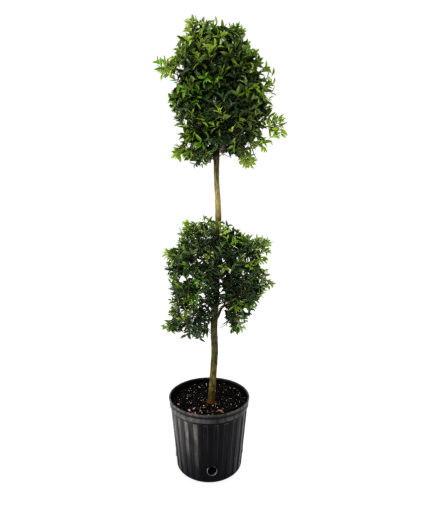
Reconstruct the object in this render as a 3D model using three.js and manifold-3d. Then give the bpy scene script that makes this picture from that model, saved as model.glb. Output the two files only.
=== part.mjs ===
// A potted double ball topiary: one bare stem with two clipped balls of small
// leaves, in a fluted black nursery pot filled with bark mix.
// Millimetres, +Z up. The origin is the centre of the pot's flat underside and
// the front of the plant looks along -Y.

import * as THREE from "three";
import { mergeVertices } from "three/addons/utils/BufferGeometryUtils.js";
import Module from "manifold-3d";

const wasm = await Module();
wasm.setup();

// Dimensions.
const GAP = 0.3; // clearance between neighbouring solids
const SLIVER = 0.1; // edges shorter than this are closed up
const TURN = 2 * Math.PI;
const GOLDEN = 137.5; // degrees from one to the next in an even scatter

const pot = {
  height: 254,
  rimRadius: 140,
  footRadius: 105, // flat part of the underside
  baseRadius: 113, // where the wall would meet the ground
  wallSlope: 20 / 218, // how much the radius grows for each millimetre up
  wall: 2.2,
  floor: 3.5,
  heel: 9, // height of the rounded edge at the foot
  heelChamfer: 2.5,
  flutes: 24,
  fluteDepth: 2.4,
  flutePhase: 2.9, // azimuth of one raised panel, in degrees
  fluteFoot: 18,
  fluteTop: 214,
  fluteEase: 4,
  facets: 40,
};
// The rim's parts, each as its depth below the top and how far it stands out.
const rim = {
  foot: { down: 30, out: -2.6 },
  bandFoot: { down: 28, out: 3.2 },
  bandTop: { down: 17, out: 2.6 },
  grooveFoot: { down: 14, out: 0.6 },
  grooveTop: { down: 7, out: 0.6 },
  lipFoot: 5.5,
  lipEdge: 2,
  lipRound: 1.4,
  mouthDown: 8,
  mouthWall: 2.4,
};
const drain = { count: 4, radius: 15, height: 50, azimuth: -85, collar: 1.8, stands: 0.9, sides: 14 };
const soil = {
  top: 231,
  lump: 3.2,
  shoulder: 12, // how far below its top the mix meets the wall
  seatRadius: 19,
  segments: 32,
  chips: 20,
  chipNear: 38, // the flakes of bark lie between these distances from the middle
  chipFar: 104,
};
const trunkSides = 10;
const trunkUneven = 0.05;

// Centre line and radius of the trunk, from the soil to its tip.
const trunkStations = [
  { z: soil.top + GAP, x: 6, y: -8, r: 14.2 },
  { z: 237, x: 6.7, y: -8, r: 12.4 },
  { z: 250, x: 8, y: -7.6, r: 11.8 },
  { z: 279, x: 10.5, y: -6.5, r: 11.7 },
  { z: 320, x: 13.4, y: -4.5, r: 11.1 },
  { z: 362, x: 16.4, y: -2.5, r: 10.8 },
  { z: 409, x: 19.1, y: -0.5, r: 11.0 },
  { z: 444, x: 18.3, y: 0.5, r: 11.1 },
  { z: 483, x: 16.2, y: 1, r: 10.8 },
  { z: 532, x: 18.4, y: 0, r: 10.5 },
  { z: 585, x: 22.3, y: -1.5, r: 10 },
  { z: 661, x: 25.4, y: -3, r: 9.6 },
  { z: 740, x: 28.4, y: -3, r: 9.4 },
  { z: 820, x: 30, y: -1.5, r: 9.1 },
  { z: 903, x: 30, y: 0, r: 9.2 },
  { z: 943, x: 28, y: 0.8, r: 8.3 },
  { z: 982, x: 25.2, y: 1.2, r: 7.9 },
  { z: 1025, x: 24.2, y: 1, r: 8.0 },
  { z: 1062, x: 24.6, y: 0.5, r: 8.9 },
  { z: 1110, x: 27, y: 0, r: 7.2 },
  { z: 1170, x: 31, y: 1, r: 5.8 },
  { z: 1236, x: 34, y: 2, r: 4.4 },
];
const trunkTop = trunkStations.at(-1).z;

// The outline of each ball's leaf tips: height, centre and radius, from the bottom
// up. A tier is one ring of masses: how many, the azimuth of its first mass, how
// far up the ball they sit (a share of its half height), and the heights on the
// trunk between which their boughs leave it.
const balls = [
  {
    name: "lower",
    outline: [
      { z: 472, x: -18, r: 56 },
      { z: 484, x: -18, r: 110 },
      { z: 505, x: -16, r: 132 },
      { z: 535, x: -6, r: 139 },
      { z: 562, x: 8, r: 146 },
      { z: 600, x: 18, r: 151 },
      { z: 635, x: 29, r: 160 },
      { z: 668, x: 30, r: 163 },
      { z: 705, x: 24, r: 168 },
      { z: 748, x: 28, r: 169 },
      { z: 776, x: 35, r: 155 },
      { z: 800, x: 31, r: 130 },
      { z: 823, x: 14, r: 106 },
      { z: 846, x: 4, r: 82 },
      { z: 864, x: 4, r: 44 },
      { z: 874, x: 4, r: 18 },
    ],
    seed: 12,
    // The cone of bare space under the ball: how far right of the trunk its axis is.
    bare: { right: 24, radius: 50, depth: 58 },
    // The slot at the front where the trunk shows, highest at the trunk.
    slot: { half: 17, top: 575, slope: 0.34 },
    sprays: 51,
    coreDepth: 34, // how far the leafless cores stay inside the outline
    tiers: [
      { count: 4, azimuth: 35, share: -0.42, low: 516, high: 572 },
      { count: 4, azimuth: 80, share: 0.44, low: 612, high: 668 },
    ],
  },
  {
    name: "upper",
    outline: [
      { z: 1034, x: 24, r: 56 },
      { z: 1048, x: 24, r: 102 },
      { z: 1072, x: 22, r: 117 },
      { z: 1102, x: 27, r: 121 },
      { z: 1128, x: 38, r: 135 },
      { z: 1156, x: 45, r: 149 },
      { z: 1188, x: 45, r: 158 },
      { z: 1222, x: 38, r: 167 },
      { z: 1262, x: 38, r: 169 },
      { z: 1300, x: 34, r: 164 },
      { z: 1330, x: 29, r: 158 },
      { z: 1354, x: 23, r: 145 },
      { z: 1380, x: 19, r: 122 },
      { z: 1408, x: 14, r: 112 },
      { z: 1432, x: 12, r: 95 },
      { z: 1450, x: 7, r: 78 },
      { z: 1463, x: -4, r: 52 },
      { z: 1471, x: -14, r: 20 },
    ],
    seed: 13,
    bare: { right: 10, radius: 42, depth: 42 },
    sprays: 50,
    coreDepth: 30,
    tiers: [
      { count: 4, azimuth: 20, share: -0.46, low: 1074, high: 1118 },
      { count: 3, azimuth: 90, share: 0.26, low: 1142, high: 1196 },
      { count: 1, azimuth: 150, share: 0.7, low: 1236, high: 1236 },
    ],
  },
];
// Where the masses sit in a ball, as shares of its radius, how far up or down one
// may be from its tier, and the clearance between the spaces of two.
const mass = { distance: 0.55, crownDistance: 0.12, uneven: 58, gap: 4 };
const core = { spread: 0.96, trunkClear: 24, least: 20, lump: 0.1 };
const bough = {
  sides: 5,
  steps: 4,
  baseRadius: 5.6,
  baseShare: 0.62, // of the trunk's radius, at most
  tipRadius: 3.1,
  collar: 0.35, // how much thicker it is where it leaves the trunk
  reach: 34,
  rise: 30,
  sag: 3.5,
};
const stem = { start: 8, endRadius: 2.4 };
const twig = { start: 12, baseRadius: 2.1, tipRadius: 0.9, bow: 9, sides: 3 };
const leaf = { length: 56, width: 23, thickness: 1.3, fold: 2.4, widest: 0.45, droop: 4 };
const leafSize = { least: 0.84, spread: 0.26 };
// Where leaves leave a twig's outer half, in degrees from it: two pairs and a tip.
const leafNodes = [
  { at: 0.42, open: 62, hands: [1, -1] },
  { at: 0.88, open: 46, hands: [1, -1] },
  { at: 0.98, open: 8, hands: [1] },
];
const leafTurn = { pair: 90, uneven: 28, open: 16 };
const clearance = { trunk: 3, limb: 2.5 };

// Shoots that have grown out past the clipped outline: the way they point, the
// height of their tips, and how far past the outline they go.
const strays = [
  { ball: "upper", azimuth: 178, z: 1345, past: 38 },
  { ball: "upper", azimuth: -10, z: 1163, past: 50 },
  { ball: "upper", azimuth: -4, z: 1106, past: 40 },
  { ball: "upper", azimuth: -6, z: 1048, past: 28 },
  { ball: "upper", azimuth: 186, z: 1076, past: 26 },
  { ball: "upper", azimuth: 180, z: 1471, past: 8 },
  { ball: "upper", azimuth: -20, z: 1453, past: 26 },
  { ball: "lower", azimuth: 195, z: 510, past: 18 },
  { ball: "lower", azimuth: 4, z: 784, past: 32 },
  { ball: "lower", azimuth: 176, z: 752, past: 18 },
  { ball: "lower", azimuth: -5, z: 642, past: 22 },
  { ball: "lower", azimuth: 195, z: 838, past: 16 },
  { ball: "lower", azimuth: -38, z: 518, past: 16 },
];

// Helpers for solids.

// Repeatable random numbers from 0 to 1.
function seeded(seed) {
  let state = seed >>> 0;
  return () => {
    state = (state + 0x6d2b79f5) >>> 0;
    let t = state;
    t = Math.imul(t ^ (t >>> 15), t | 1);
    t ^= t + Math.imul(t ^ (t >>> 7), t | 61);
    return ((t ^ (t >>> 14)) >>> 0) / 4294967296;
  };
}

function geometryOf(positions, triangles) {
  const geometry = new THREE.BufferGeometry();
  geometry.setAttribute("position", new THREE.Float32BufferAttribute(positions, 3));
  geometry.setIndex(triangles);
  return geometry;
}

function solidOf(geometry) {
  const bare = geometry.clone();
  bare.deleteAttribute("normal");
  bare.deleteAttribute("uv");
  const merged = mergeVertices(bare, 1e-3);
  return new wasm.Manifold(
    new wasm.Mesh({
      numProp: 3,
      vertProperties: new Float32Array(merged.attributes.position.array),
      triVerts: new Uint32Array(merged.index.array),
    }),
  );
}

// The largest connected piece of a solid, without slivers, scraps or sealed hollows.
function mainPiece(solid) {
  const pieces = solid.simplify(SLIVER).decompose();
  return pieces.reduce((a, b) => (b.volume() > a.volume() ? b : a));
}

function joined(solids) {
  let round = solids;
  while (round.length > 1) {
    const next = [];
    for (let i = 0; i < round.length; i += 2) {
      next.push(i + 1 < round.length ? round[i].add(round[i + 1]) : round[i]);
    }
    round = next;
  }
  return round[0];
}

function geometryFrom(solid) {
  const made = solid.getMesh();
  const positions = [];
  for (let i = 0; i < made.numVert; i++) {
    positions.push(...made.vertProperties.subarray(i * made.numProp, i * made.numProp + 3));
  }
  return geometryOf(positions, Array.from(made.triVerts));
}

function meshOf(name, solid, material) {
  const clean = mainPiece(solidOf(geometryFrom(mainPiece(solid))));
  const geometry = geometryFrom(clean);
  geometry.computeVertexNormals();
  const mesh = new THREE.Mesh(geometry, material);
  mesh.name = name;
  return mesh;
}

// A closed tube through rings of points, each ring counter-clockwise seen from its end.
function tubeOf(rings) {
  const sides = rings[0].length;
  const positions = rings.flat().flatMap((p) => [p.x, p.y, p.z]);
  const triangles = [];
  for (let k = 0; k + 1 < rings.length; k++) {
    for (let i = 0; i < sides; i++) {
      const a = k * sides + i;
      const b = k * sides + ((i + 1) % sides);
      triangles.push(a, b, b + sides, a, b + sides, a + sides);
    }
  }
  const last = (rings.length - 1) * sides;
  for (let i = 1; i + 1 < sides; i++) {
    triangles.push(0, i + 1, i, last, last + i, last + i + 1);
  }
  return geometryOf(positions, triangles);
}

// Rings of a tapering limb that follows a line of points, square to it.
function limbRings(points, radii, sides) {
  const rings = [];
  const side = new THREE.Vector3();
  for (let k = 0; k < points.length; k++) {
    const along = points[Math.min(k + 1, points.length - 1)]
      .clone()
      .sub(points[Math.max(k - 1, 0)])
      .normalize();
    if (k === 0) side.set(-along.y, along.x, 0.01);
    side.addScaledVector(along, -side.dot(along)).normalize();
    const other = along.clone().cross(side);
    rings.push(
      Array.from({ length: sides }, (_, i) => {
        const angle = (TURN * i) / sides;
        return points[k]
          .clone()
          .addScaledVector(side, radii[k] * Math.cos(angle))
          .addScaledVector(other, radii[k] * Math.sin(angle));
      }),
    );
  }
  return rings;
}

// The values of a list of stations at a height between two of them.
function between(stations, z, keys) {
  const above = stations.findIndex((at) => at.z >= z);
  const high = above < 0 ? stations.length - 1 : Math.max(above, 1);
  const low = stations[high - 1];
  const t = THREE.MathUtils.clamp((z - low.z) / (stations[high].z - low.z), 0, 1);
  return Object.fromEntries(keys.map((key) => [key, low[key] + (stations[high][key] - low[key]) * t]));
}

function onCircle(radius, azimuth, z = 0) {
  const angle = THREE.MathUtils.degToRad(azimuth);
  return new THREE.Vector3(radius * Math.cos(angle), radius * Math.sin(angle), z);
}

function lathe(profile, segments) {
  const outline = profile.map(([r, z]) => new THREE.Vector2(r, z));
  return new THREE.LatheGeometry(outline, segments).rotateX(Math.PI / 2);
}

// The pot.

const wallRadius = (z) => pot.baseRadius + pot.wallSlope * z;

// The fluted wall and the underside: every flute is a raised and a sunken flat.
function flutedWall() {
  const foot = pot.footRadius;
  const intoRim = pot.height - rim.bandTop.down;
  const heelMiddle = (foot + 2 * wallRadius(pot.heel)) / 3;
  const rows = [
    [0, foot, 0],
    [pot.heelChamfer, heelMiddle, 0],
    [pot.heel, wallRadius(pot.heel), 0],
    [pot.fluteFoot, wallRadius(pot.fluteFoot), 1],
    [pot.fluteTop, wallRadius(pot.fluteTop), 1],
    [pot.fluteTop + pot.fluteEase, wallRadius(pot.fluteTop), 0],
    [intoRim, wallRadius(intoRim), 0],
  ];
  const corners = [-0.27, 0.27, 0.33, 0.67]; // of one flute: two raised, two sunken
  const rings = rows.map(([z, radius, fluted]) => {
    const ring = [];
    for (let i = 0; i < pot.flutes; i++) {
      corners.forEach((at, n) => {
        const depth = n > 1 ? fluted * pot.fluteDepth : 0;
        const azimuth = pot.flutePhase + ((i + at) * 360) / pot.flutes;
        ring.push(onCircle(radius - depth, azimuth, z));
      });
    }
    return ring;
  });
  return solidOf(tubeOf(rings));
}

// The rim: a broad band, a groove above it and a lip that stands out over both.
function rimSolid() {
  const top = pot.height;
  const steps = [rim.foot, rim.bandFoot, rim.bandTop, rim.grooveFoot, rim.grooveTop];
  const band = steps.map(({ down, out }) => [wallRadius(top - down) + out, top - down]);
  const lip = [
    [pot.rimRadius - rim.lipRound / 2, top - rim.lipFoot],
    [pot.rimRadius, top - rim.lipEdge],
    [pot.rimRadius - rim.lipRound, top],
  ];
  return solidOf(lathe([[0, top - rim.foot.down], ...band, ...lip, [0, top]], pot.facets));
}

function cavityRadius(z) {
  return wallRadius(z) - pot.fluteDepth - pot.wall;
}

// The inside of the pot, with a rounded corner above its floor.
const cavityCorner = { height: 10, width: 6 };

function cavity() {
  const top = pot.height;
  const neck = top - rim.foot.down;
  const { height, width } = cavityCorner;
  const profile = [
    [0, pot.floor],
    [cavityRadius(height) - width, pot.floor],
    [cavityRadius(height), height],
    [cavityRadius(neck), neck],
    [wallRadius(top) - rim.mouthWall, top - rim.mouthDown],
    [wallRadius(top), top + 1],
    [0, top + 1],
  ];
  return solidOf(lathe(profile, pot.facets));
}

// A short radial cylinder through the wall, between two distances from the middle.
function drainPlug(azimuth, radius, inner, outer) {
  const shape = new THREE.CylinderGeometry(radius, radius, outer - inner, drain.sides);
  shape.rotateZ(Math.PI / 2);
  shape.translate((inner + outer) / 2, 0, drain.height);
  shape.rotateZ(THREE.MathUtils.degToRad(azimuth));
  return solidOf(shape);
}

function nurseryPot() {
  const wall = wallRadius(drain.height);
  const within = wall - pot.fluteDepth - pot.wall / 2;
  const beyond = wall + 2 * drain.stands;
  const azimuths = Array.from({ length: drain.count }, (_, i) => drain.azimuth + (i * 360) / drain.count);
  let shell = flutedWall().add(rimSolid());
  for (const azimuth of azimuths) {
    shell = shell.add(drainPlug(azimuth, drain.radius + drain.collar, within, wall + drain.stands));
  }
  shell = shell.subtract(cavity());
  for (const azimuth of azimuths) {
    shell = shell.subtract(drainPlug(azimuth, drain.radius, within - 2 * pot.wall, beyond));
  }
  return shell;
}

// The potting mix.

const soilRandom = seeded(5);

// The fill of bark mix, flat where the trunk stands and lumpy round it.
function mixFill() {
  const clear = 2 * GAP;
  const { height, width } = cavityCorner;
  const shoulder = soil.top - soil.shoulder;
  const rows = [
    { r: cavityRadius(height) - width - clear, z: pot.floor + GAP, lump: 0 },
    { r: cavityRadius(height) - clear, z: height + clear, lump: 0 },
    { r: cavityRadius(shoulder) - clear, z: shoulder, lump: 0 },
    { r: 124, z: soil.top - 3, lump: 0.6 },
    { r: 106, z: soil.top, lump: 1 },
    { r: 84, z: soil.top, lump: 1 },
    { r: 62, z: soil.top, lump: 1 },
    { r: 40, z: soil.top, lump: 0.8 },
    { r: soil.seatRadius, z: soil.top, lump: 0 },
  ];
  const seat = trunkStations[0];
  const firstOpen = 3; // the first row that isn't held by the pot
  const rings = rows.map(({ r, z, lump }, k) => {
    const towardsTrunk = Math.max(0, (k - firstOpen) / (rows.length - 1 - firstOpen));
    return Array.from({ length: soil.segments }, (_, i) => {
      const p = onCircle(r, (i * 360) / soil.segments, z);
      p.x += seat.x * towardsTrunk;
      p.y += seat.y * towardsTrunk;
      p.z += lump * soil.lump * (soilRandom() - 0.6);
      return p;
    });
  });
  return solidOf(tubeOf(rings));
}

// One flake of bark: a flattened lump of six corners that lies on the mix.
function barkFlake() {
  const tilt = () => (soilRandom() - 0.5) * 0.7;
  const flake = new THREE.OctahedronGeometry(1, 0);
  flake.scale(5 + 7 * soilRandom(), 3.5 + 3 * soilRandom(), 2.2 + 1.4 * soilRandom());
  flake.rotateX(tilt()).rotateY(tilt());
  return flake.rotateZ(soilRandom() * TURN);
}

function pottingMix() {
  let mix = mixFill();
  for (let i = 0; i < soil.chips; i++) {
    const far = soil.chipNear + (soil.chipFar - soil.chipNear) * Math.sqrt(soilRandom());
    const place = onCircle(far, i * GOLDEN, soil.top - 0.5);
    mix = mix.add(solidOf(barkFlake().translate(place.x, place.y, place.z)));
  }
  return mix;
}

// The trunk.

// Centre and radius of the trunk at a height.
function trunkAt(z) {
  return between(trunkStations, z, ["x", "y", "r"]);
}

// The trunk's solid, or with extra the room it needs.
function trunkSolid(extra = 0) {
  const knots = seeded(11);
  const rings = trunkStations.map((s) =>
    Array.from({ length: trunkSides }, (_, i) => {
      const radius = s.r * (1 + trunkUneven * (knots() - 0.5)) + extra;
      const z = s.z === trunkTop ? s.z + extra : s.z;
      return onCircle(radius, (i * 360) / trunkSides, z).add(new THREE.Vector3(s.x, s.y, 0));
    }),
  );
  return solidOf(tubeOf(rings));
}

// The masses of foliage and their spaces.

// Centre and radius of a ball's outline at a height.
function outlineAt(ball, z) {
  return between(ball.outline, z, ["x", "r"]);
}

// A mass is one bough's worth of foliage. Its space is the part of the ball that
// is nearer to its seed than to any other seed of that ball.
function planMasses(ball) {
  const uneven = seeded(ball.seed);
  const bottom = ball.outline[0].z;
  const top = ball.outline.at(-1).z;
  const masses = [];
  for (const tier of ball.tiers) {
    for (let i = 0; i < tier.count; i++) {
      const azimuth = tier.azimuth + (i * 360) / tier.count;
      const middle = (top + bottom + (top - bottom) * tier.share) / 2;
      const level = outlineAt(ball, middle);
      const crown = tier.count === 1;
      const far = level.r * (crown ? mass.crownDistance : mass.distance);
      const seed = onCircle(far, azimuth, middle + mass.uneven * (uneven() - 0.5));
      seed.x += level.x;
      const root = tier.low + (tier.high - tier.low) * ((i * 0.618) % 1);
      masses.push({ ball, azimuth, seed, root, crown, name: ball.name + "_" + (masses.length + 1) });
    }
  }
  for (const one of masses) {
    const others = masses.filter((other) => other !== one);
    one.planes = others.map((other) => {
      const normal = other.seed.clone().sub(one.seed).normalize();
      const middle = other.seed.clone().add(one.seed).multiplyScalar(0.5);
      return { normal, offset: middle.dot(normal) - mass.gap / 2 };
    });
  }
  return masses;
}

// How far past the outline of its ball a point is; inside, this is below zero.
function pastOutline(ball, p) {
  const level = outlineAt(ball, p.z);
  const below = ball.outline[0].z - p.z;
  const above = p.z - ball.outline.at(-1).z;
  return Math.max(Math.hypot(p.x - level.x, p.y) - level.r, below, above);
}

// How far a ray from a point inside the ball runs before it meets the outline.
function toOutline(ball, from, way) {
  let near = 0;
  let far = ball.outline.at(-1).z - ball.outline[0].z;
  while (far - near > 0.5) {
    const middle = (near + far) / 2;
    if (pastOutline(ball, from.clone().addScaledVector(way, middle)) > 0) far = middle;
    else near = middle;
  }
  return near;
}

// True where a point is in the bare cone under a ball, or in its slot.
function inBareSpace(ball, p) {
  const { bare, slot } = ball;
  const axis = trunkAt(p.z);
  const off = Math.hypot(p.x - axis.x - bare.right, p.y - axis.y);
  if (p.z - ball.outline[0].z < bare.depth * (1.3 - off / bare.radius)) return true;
  if (!slot || p.y > 0 || Math.abs(p.x - axis.x) > slot.half) return false;
  return p.z < slot.top - slot.slope * p.y;
}

function clearOfTrunk(p) {
  const axis = trunkAt(p.z);
  if (p.z > trunkTop + clearance.trunk) return true;
  return Math.hypot(p.x - axis.x, p.y - axis.y) > axis.r + clearance.trunk;
}

function clearOfLimbs(p, limbs) {
  return limbs.every(({ points, radii }) =>
    points.slice(1).every((end, k) => {
      const line = new THREE.Line3(points[k], end);
      const nearest = line.closestPointToPoint(p, true, new THREE.Vector3());
      return nearest.distanceTo(p) > Math.max(radii[k], radii[k + 1]) + clearance.limb;
    }),
  );
}

function insideCell(mass, p, margin = 0) {
  return mass.planes.every(({ normal, offset }) => p.dot(normal) < offset - margin);
}

// How far the core of a mass reaches from its seed along a ray: to the ball's
// outline less its depth, a neighbour's space, the trunk or bare space.
function coreReach(one, way) {
  const { ball, seed, planes } = one;
  let reach = toOutline(ball, seed, way) - ball.coreDepth;
  for (const { normal, offset } of planes) {
    const facing = Math.max(way.dot(normal), 1e-3);
    reach = Math.min(reach, (core.spread * (offset - seed.dot(normal))) / facing);
  }
  const axis = trunkAt(seed.z);
  const inward = new THREE.Vector3(axis.x - seed.x, axis.y - seed.y, 0);
  const room = inward.length() - core.trunkClear;
  if (!one.crown) reach = Math.min(reach, room / Math.max(way.dot(inward.normalize()), 1e-3));
  const at = (r) => seed.clone().addScaledVector(way, r);
  while (reach > core.least && inBareSpace(ball, at(reach))) reach -= 4;
  return reach;
}

// The leafless heart of a mass: a lumpy body that fills most of its space.
function coreSolid(one, random) {
  const shape = new THREE.IcosahedronGeometry(1, 1);
  shape.deleteAttribute("normal");
  shape.deleteAttribute("uv");
  const merged = mergeVertices(shape, 1e-3);
  const corners = merged.attributes.position;
  for (let i = 0; i < corners.count; i++) {
    const way = new THREE.Vector3().fromBufferAttribute(corners, i).normalize();
    const reach = coreReach(one, way) * (1 - core.lump * random());
    corners.setXYZ(i, ...way.multiplyScalar(reach).add(one.seed).toArray());
  }
  return solidOf(merged);
}

// The boughs.

// A bough leaves the trunk's centre line low and curves up and out to its mass;
// the one of the highest mass carries the trunk's tip on.
function planBough(one) {
  const axis = trunkAt(one.root);
  const start = new THREE.Vector3(axis.x, axis.y, one.root);
  const out = one.seed.clone().sub(start);
  const share = bough.reach / (one.crown ? out.length() : Math.hypot(out.x, out.y));
  let end = start.clone().addScaledVector(out, share);
  if (one.crown) start.z += GAP;
  else end = new THREE.Vector3(end.x, end.y, start.z + bough.rise + (out.z * share) / 2);
  const middle = start.clone().lerp(end, 0.5);
  middle.z -= one.crown ? 0 : bough.sag;
  const points = new THREE.CatmullRomCurve3([start, middle, end]).getPoints(bough.steps);
  const base = one.crown ? axis.r : Math.min(bough.baseRadius, bough.baseShare * axis.r);
  const radii = points.map((_, k) => {
    const t = k / bough.steps;
    const swell = one.crown ? 0 : bough.collar * Math.max(0, 1 - t * 3);
    return THREE.MathUtils.lerp(base, bough.tipRadius, t) * (1 + swell);
  });
  return { points, radii };
}

// The stem of a mass carries its bough on, a hair from the bough's tip.
function planStem(one, own) {
  const [before, tip] = own.points.slice(-2);
  const along = tip.clone().sub(before).normalize();
  const start = tip.clone().addScaledVector(along, GAP);
  return {
    points: [start, start.clone().addScaledVector(along, stem.start), one.seed.clone()],
    radii: [bough.tipRadius, bough.tipRadius, stem.endRadius],
  };
}

function limbSolid({ points, radii }) {
  return solidOf(tubeOf(limbRings(points, radii, bough.sides)));
}

// The room a limb needs: a little thicker than the limb and longer at its tip.
function limbRoom({ points, radii }) {
  const [before, end] = points.slice(-2);
  const along = end.clone().sub(before).normalize();
  const tip = end.clone().addScaledVector(along, GAP * 0.8);
  return limbSolid({ points: [...points.slice(0, -1), tip], radii: radii.map((r) => r + GAP) });
}

// The twigs and leaves.

// A leaf is a thin folded blade of eight faces, pointed at both ends.
function leafCorners(base, along, face, size) {
  const across = face.clone().cross(along).normalize();
  const up = along.clone().cross(across).normalize();
  const put = (x, y, z) =>
    base.clone().addScaledVector(along, x).addScaledVector(across, y).addScaledVector(up, z);
  const reach = leaf.length * size;
  const half = (leaf.width * size) / 2;
  const wide = reach * leaf.widest;
  return [
    put(0, 0, 0),
    put(wide, half, leaf.fold * size),
    put(wide, -half, leaf.fold * size),
    put(reach, 0, -leaf.droop * size),
    put(wide, 0, leaf.thickness / 2),
    put(wide, 0, -leaf.thickness / 2),
  ];
}

function leafSolid(corners) {
  const triangles = [0, 4, 1, 1, 4, 3, 3, 4, 2, 2, 4, 0, 1, 5, 0, 3, 5, 1, 2, 5, 3, 0, 5, 2];
  return solidOf(geometryOf(corners.flatMap((p) => p.toArray()), triangles));
}

// Points spread evenly over a ball's outline, and the tips of its strays.
function sprayTargets(ball) {
  const bottom = ball.outline[0].z;
  const top = ball.outline.at(-1).z;
  const middle = new THREE.Vector3(outlineAt(ball, (top + bottom) / 2).x, 0, (top + bottom) / 2);
  const targets = [];
  for (let i = 0; i < ball.sprays; i++) {
    const height = 1 - (2 * (i + 0.5)) / ball.sprays;
    const way = onCircle(Math.sqrt(1 - height * height), i * GOLDEN, height);
    targets.push(middle.clone().addScaledVector(way, toOutline(ball, middle, way)));
  }
  for (const stray of strays.filter((one) => one.ball === ball.name)) {
    const level = outlineAt(ball, stray.z);
    const tip = onCircle(level.r + stray.past, stray.azimuth, stray.z);
    tip.x += level.x;
    targets.push(tip);
  }
  return targets;
}

function nearestMass(masses, p) {
  return masses.reduce((a, b) => (b.seed.distanceTo(p) < a.seed.distanceTo(p) ? b : a));
}

// The corners of a twig's leaves: opposite pairs that turn a quarter from one to
// the next, and one leaf at the tip.
function leavesAlong(middle, tip, random) {
  const growth = tip.clone().sub(middle).normalize();
  const face = growth.clone();
  face.z += 0.6;
  const side = new THREE.Vector3(random() - 0.5, random() - 0.5, random() - 0.5);
  side.cross(growth).normalize();
  const leaves = [];
  for (const { at, open, hands } of leafNodes) {
    const turn = leafTurn.pair + leafTurn.uneven * (random() - 0.5);
    side.applyAxisAngle(growth, THREE.MathUtils.degToRad(turn));
    for (const hand of hands) {
      const angle = THREE.MathUtils.degToRad(open + leafTurn.open * (random() - 0.5));
      const along = growth.clone().multiplyScalar(Math.cos(angle));
      along.addScaledVector(side, hand * Math.sin(angle));
      const size = leafSize.least + leafSize.spread * random();
      leaves.push(leafCorners(middle.clone().lerp(tip, at), along, face, size));
    }
  }
  return leaves;
}

// A twig that runs from the heart of its mass to a target, and its leaves. One
// that would leave the mass's space or touch a limb is skipped.
function spray(one, target, limbs, random) {
  const allowed = (p, margin) =>
    insideCell(one, p, margin) &&
    clearOfTrunk(p) &&
    clearOfLimbs(p, limbs) &&
    !inBareSpace(one.ball, p);
  const way = target.clone().sub(one.seed).normalize();
  const start = one.seed.clone().addScaledVector(way, twig.start);
  const tip = target.clone().addScaledVector(way, -0.78 * leaf.length);
  const middle = start.clone().lerp(tip, 0.55);
  middle.z -= twig.bow;
  const halves = [start.clone().lerp(middle, 0.5), middle.clone().lerp(tip, 0.5)];
  if (![start, middle, tip, ...halves].every((p) => allowed(p, twig.baseRadius))) return [];
  const leaves = leavesAlong(middle, tip, random).filter((corners) => {
    const [, left, right, end] = corners;
    const edges = [left.clone().lerp(end, 0.5), right.clone().lerp(end, 0.5)];
    return [...corners.slice(1), ...edges].every((p) => allowed(p));
  });
  const radii = [twig.baseRadius, (twig.baseRadius + twig.tipRadius) / 2, twig.tipRadius];
  const wood = solidOf(tubeOf(limbRings([start, middle, tip], radii, twig.sides)));
  return leaves.length ? [wood, ...leaves.map(leafSolid)] : [];
}

function foliage(one, ownStem, targets, limbs) {
  const random = seeded(Math.round(one.root * 7 + one.azimuth * 3));
  const solids = [coreSolid(one, random), limbSolid(ownStem)];
  for (const target of targets) solids.push(...spray(one, target, limbs, random));
  return joined(solids);
}

// The whole plant.

const potPlastic = new THREE.MeshStandardMaterial({ color: 0x1c1c1f, roughness: 0.45 });
const barkMix = new THREE.MeshStandardMaterial({ color: 0x2b211a, roughness: 0.95 });
const bark = new THREE.MeshStandardMaterial({ color: 0x8a7b4f, roughness: 0.85 });
const boughBark = new THREE.MeshStandardMaterial({ color: 0x6d6248, roughness: 0.85 });
const leafGreen = new THREE.MeshStandardMaterial({ color: 0x35561f, roughness: 0.5 });

const topiary = new THREE.Group();
topiary.add(meshOf("nursery_pot", nurseryPot(), potPlastic));
topiary.add(meshOf("potting_mix", pottingMix(), barkMix));
topiary.add(meshOf("trunk", trunkSolid(), bark));

const trunkRoom = trunkSolid(GAP);
for (const ball of balls) {
  const masses = planMasses(ball);
  const boughs = masses.map(planBough);
  const stems = masses.map((one, i) => planStem(one, boughs[i]));
  const targets = sprayTargets(ball);
  masses.forEach((one, i) => {
    const own = targets.filter((target) => nearestMass(masses, target) === one);
    const limbs = [...boughs, ...stems.filter((other) => other !== stems[i])];
    let mound = foliage(one, stems[i], own, limbs).subtract(trunkRoom);
    for (const limb of limbs) mound = mound.subtract(limbRoom(limb));
    const limb = limbSolid(boughs[i]).subtract(trunkRoom);
    topiary.add(meshOf("bough_" + one.name, limb, boughBark));
    topiary.add(meshOf("foliage_" + one.name, mound, leafGreen));
  });
}

export default topiary;
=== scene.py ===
# %% [markdown]
# A potted double ball topiary
#
# The plant is one bare stem that carries two clipped balls of small leaves, one over
# the other, and it stands in a fluted black nursery pot filled with bark mix. The solid
# model gives every piece its place and reach. This lesson dresses it: first the studio,
# then the pot and its mix, then the bark, and last the twigs and leaves, which make up
# most of what the eye sees. Lengths are written in millimetres and turned into metres
# as each mesh is made.

import math

import bpy
import numpy as np
from mathutils import Matrix, Quaternion, Vector, noise


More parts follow.
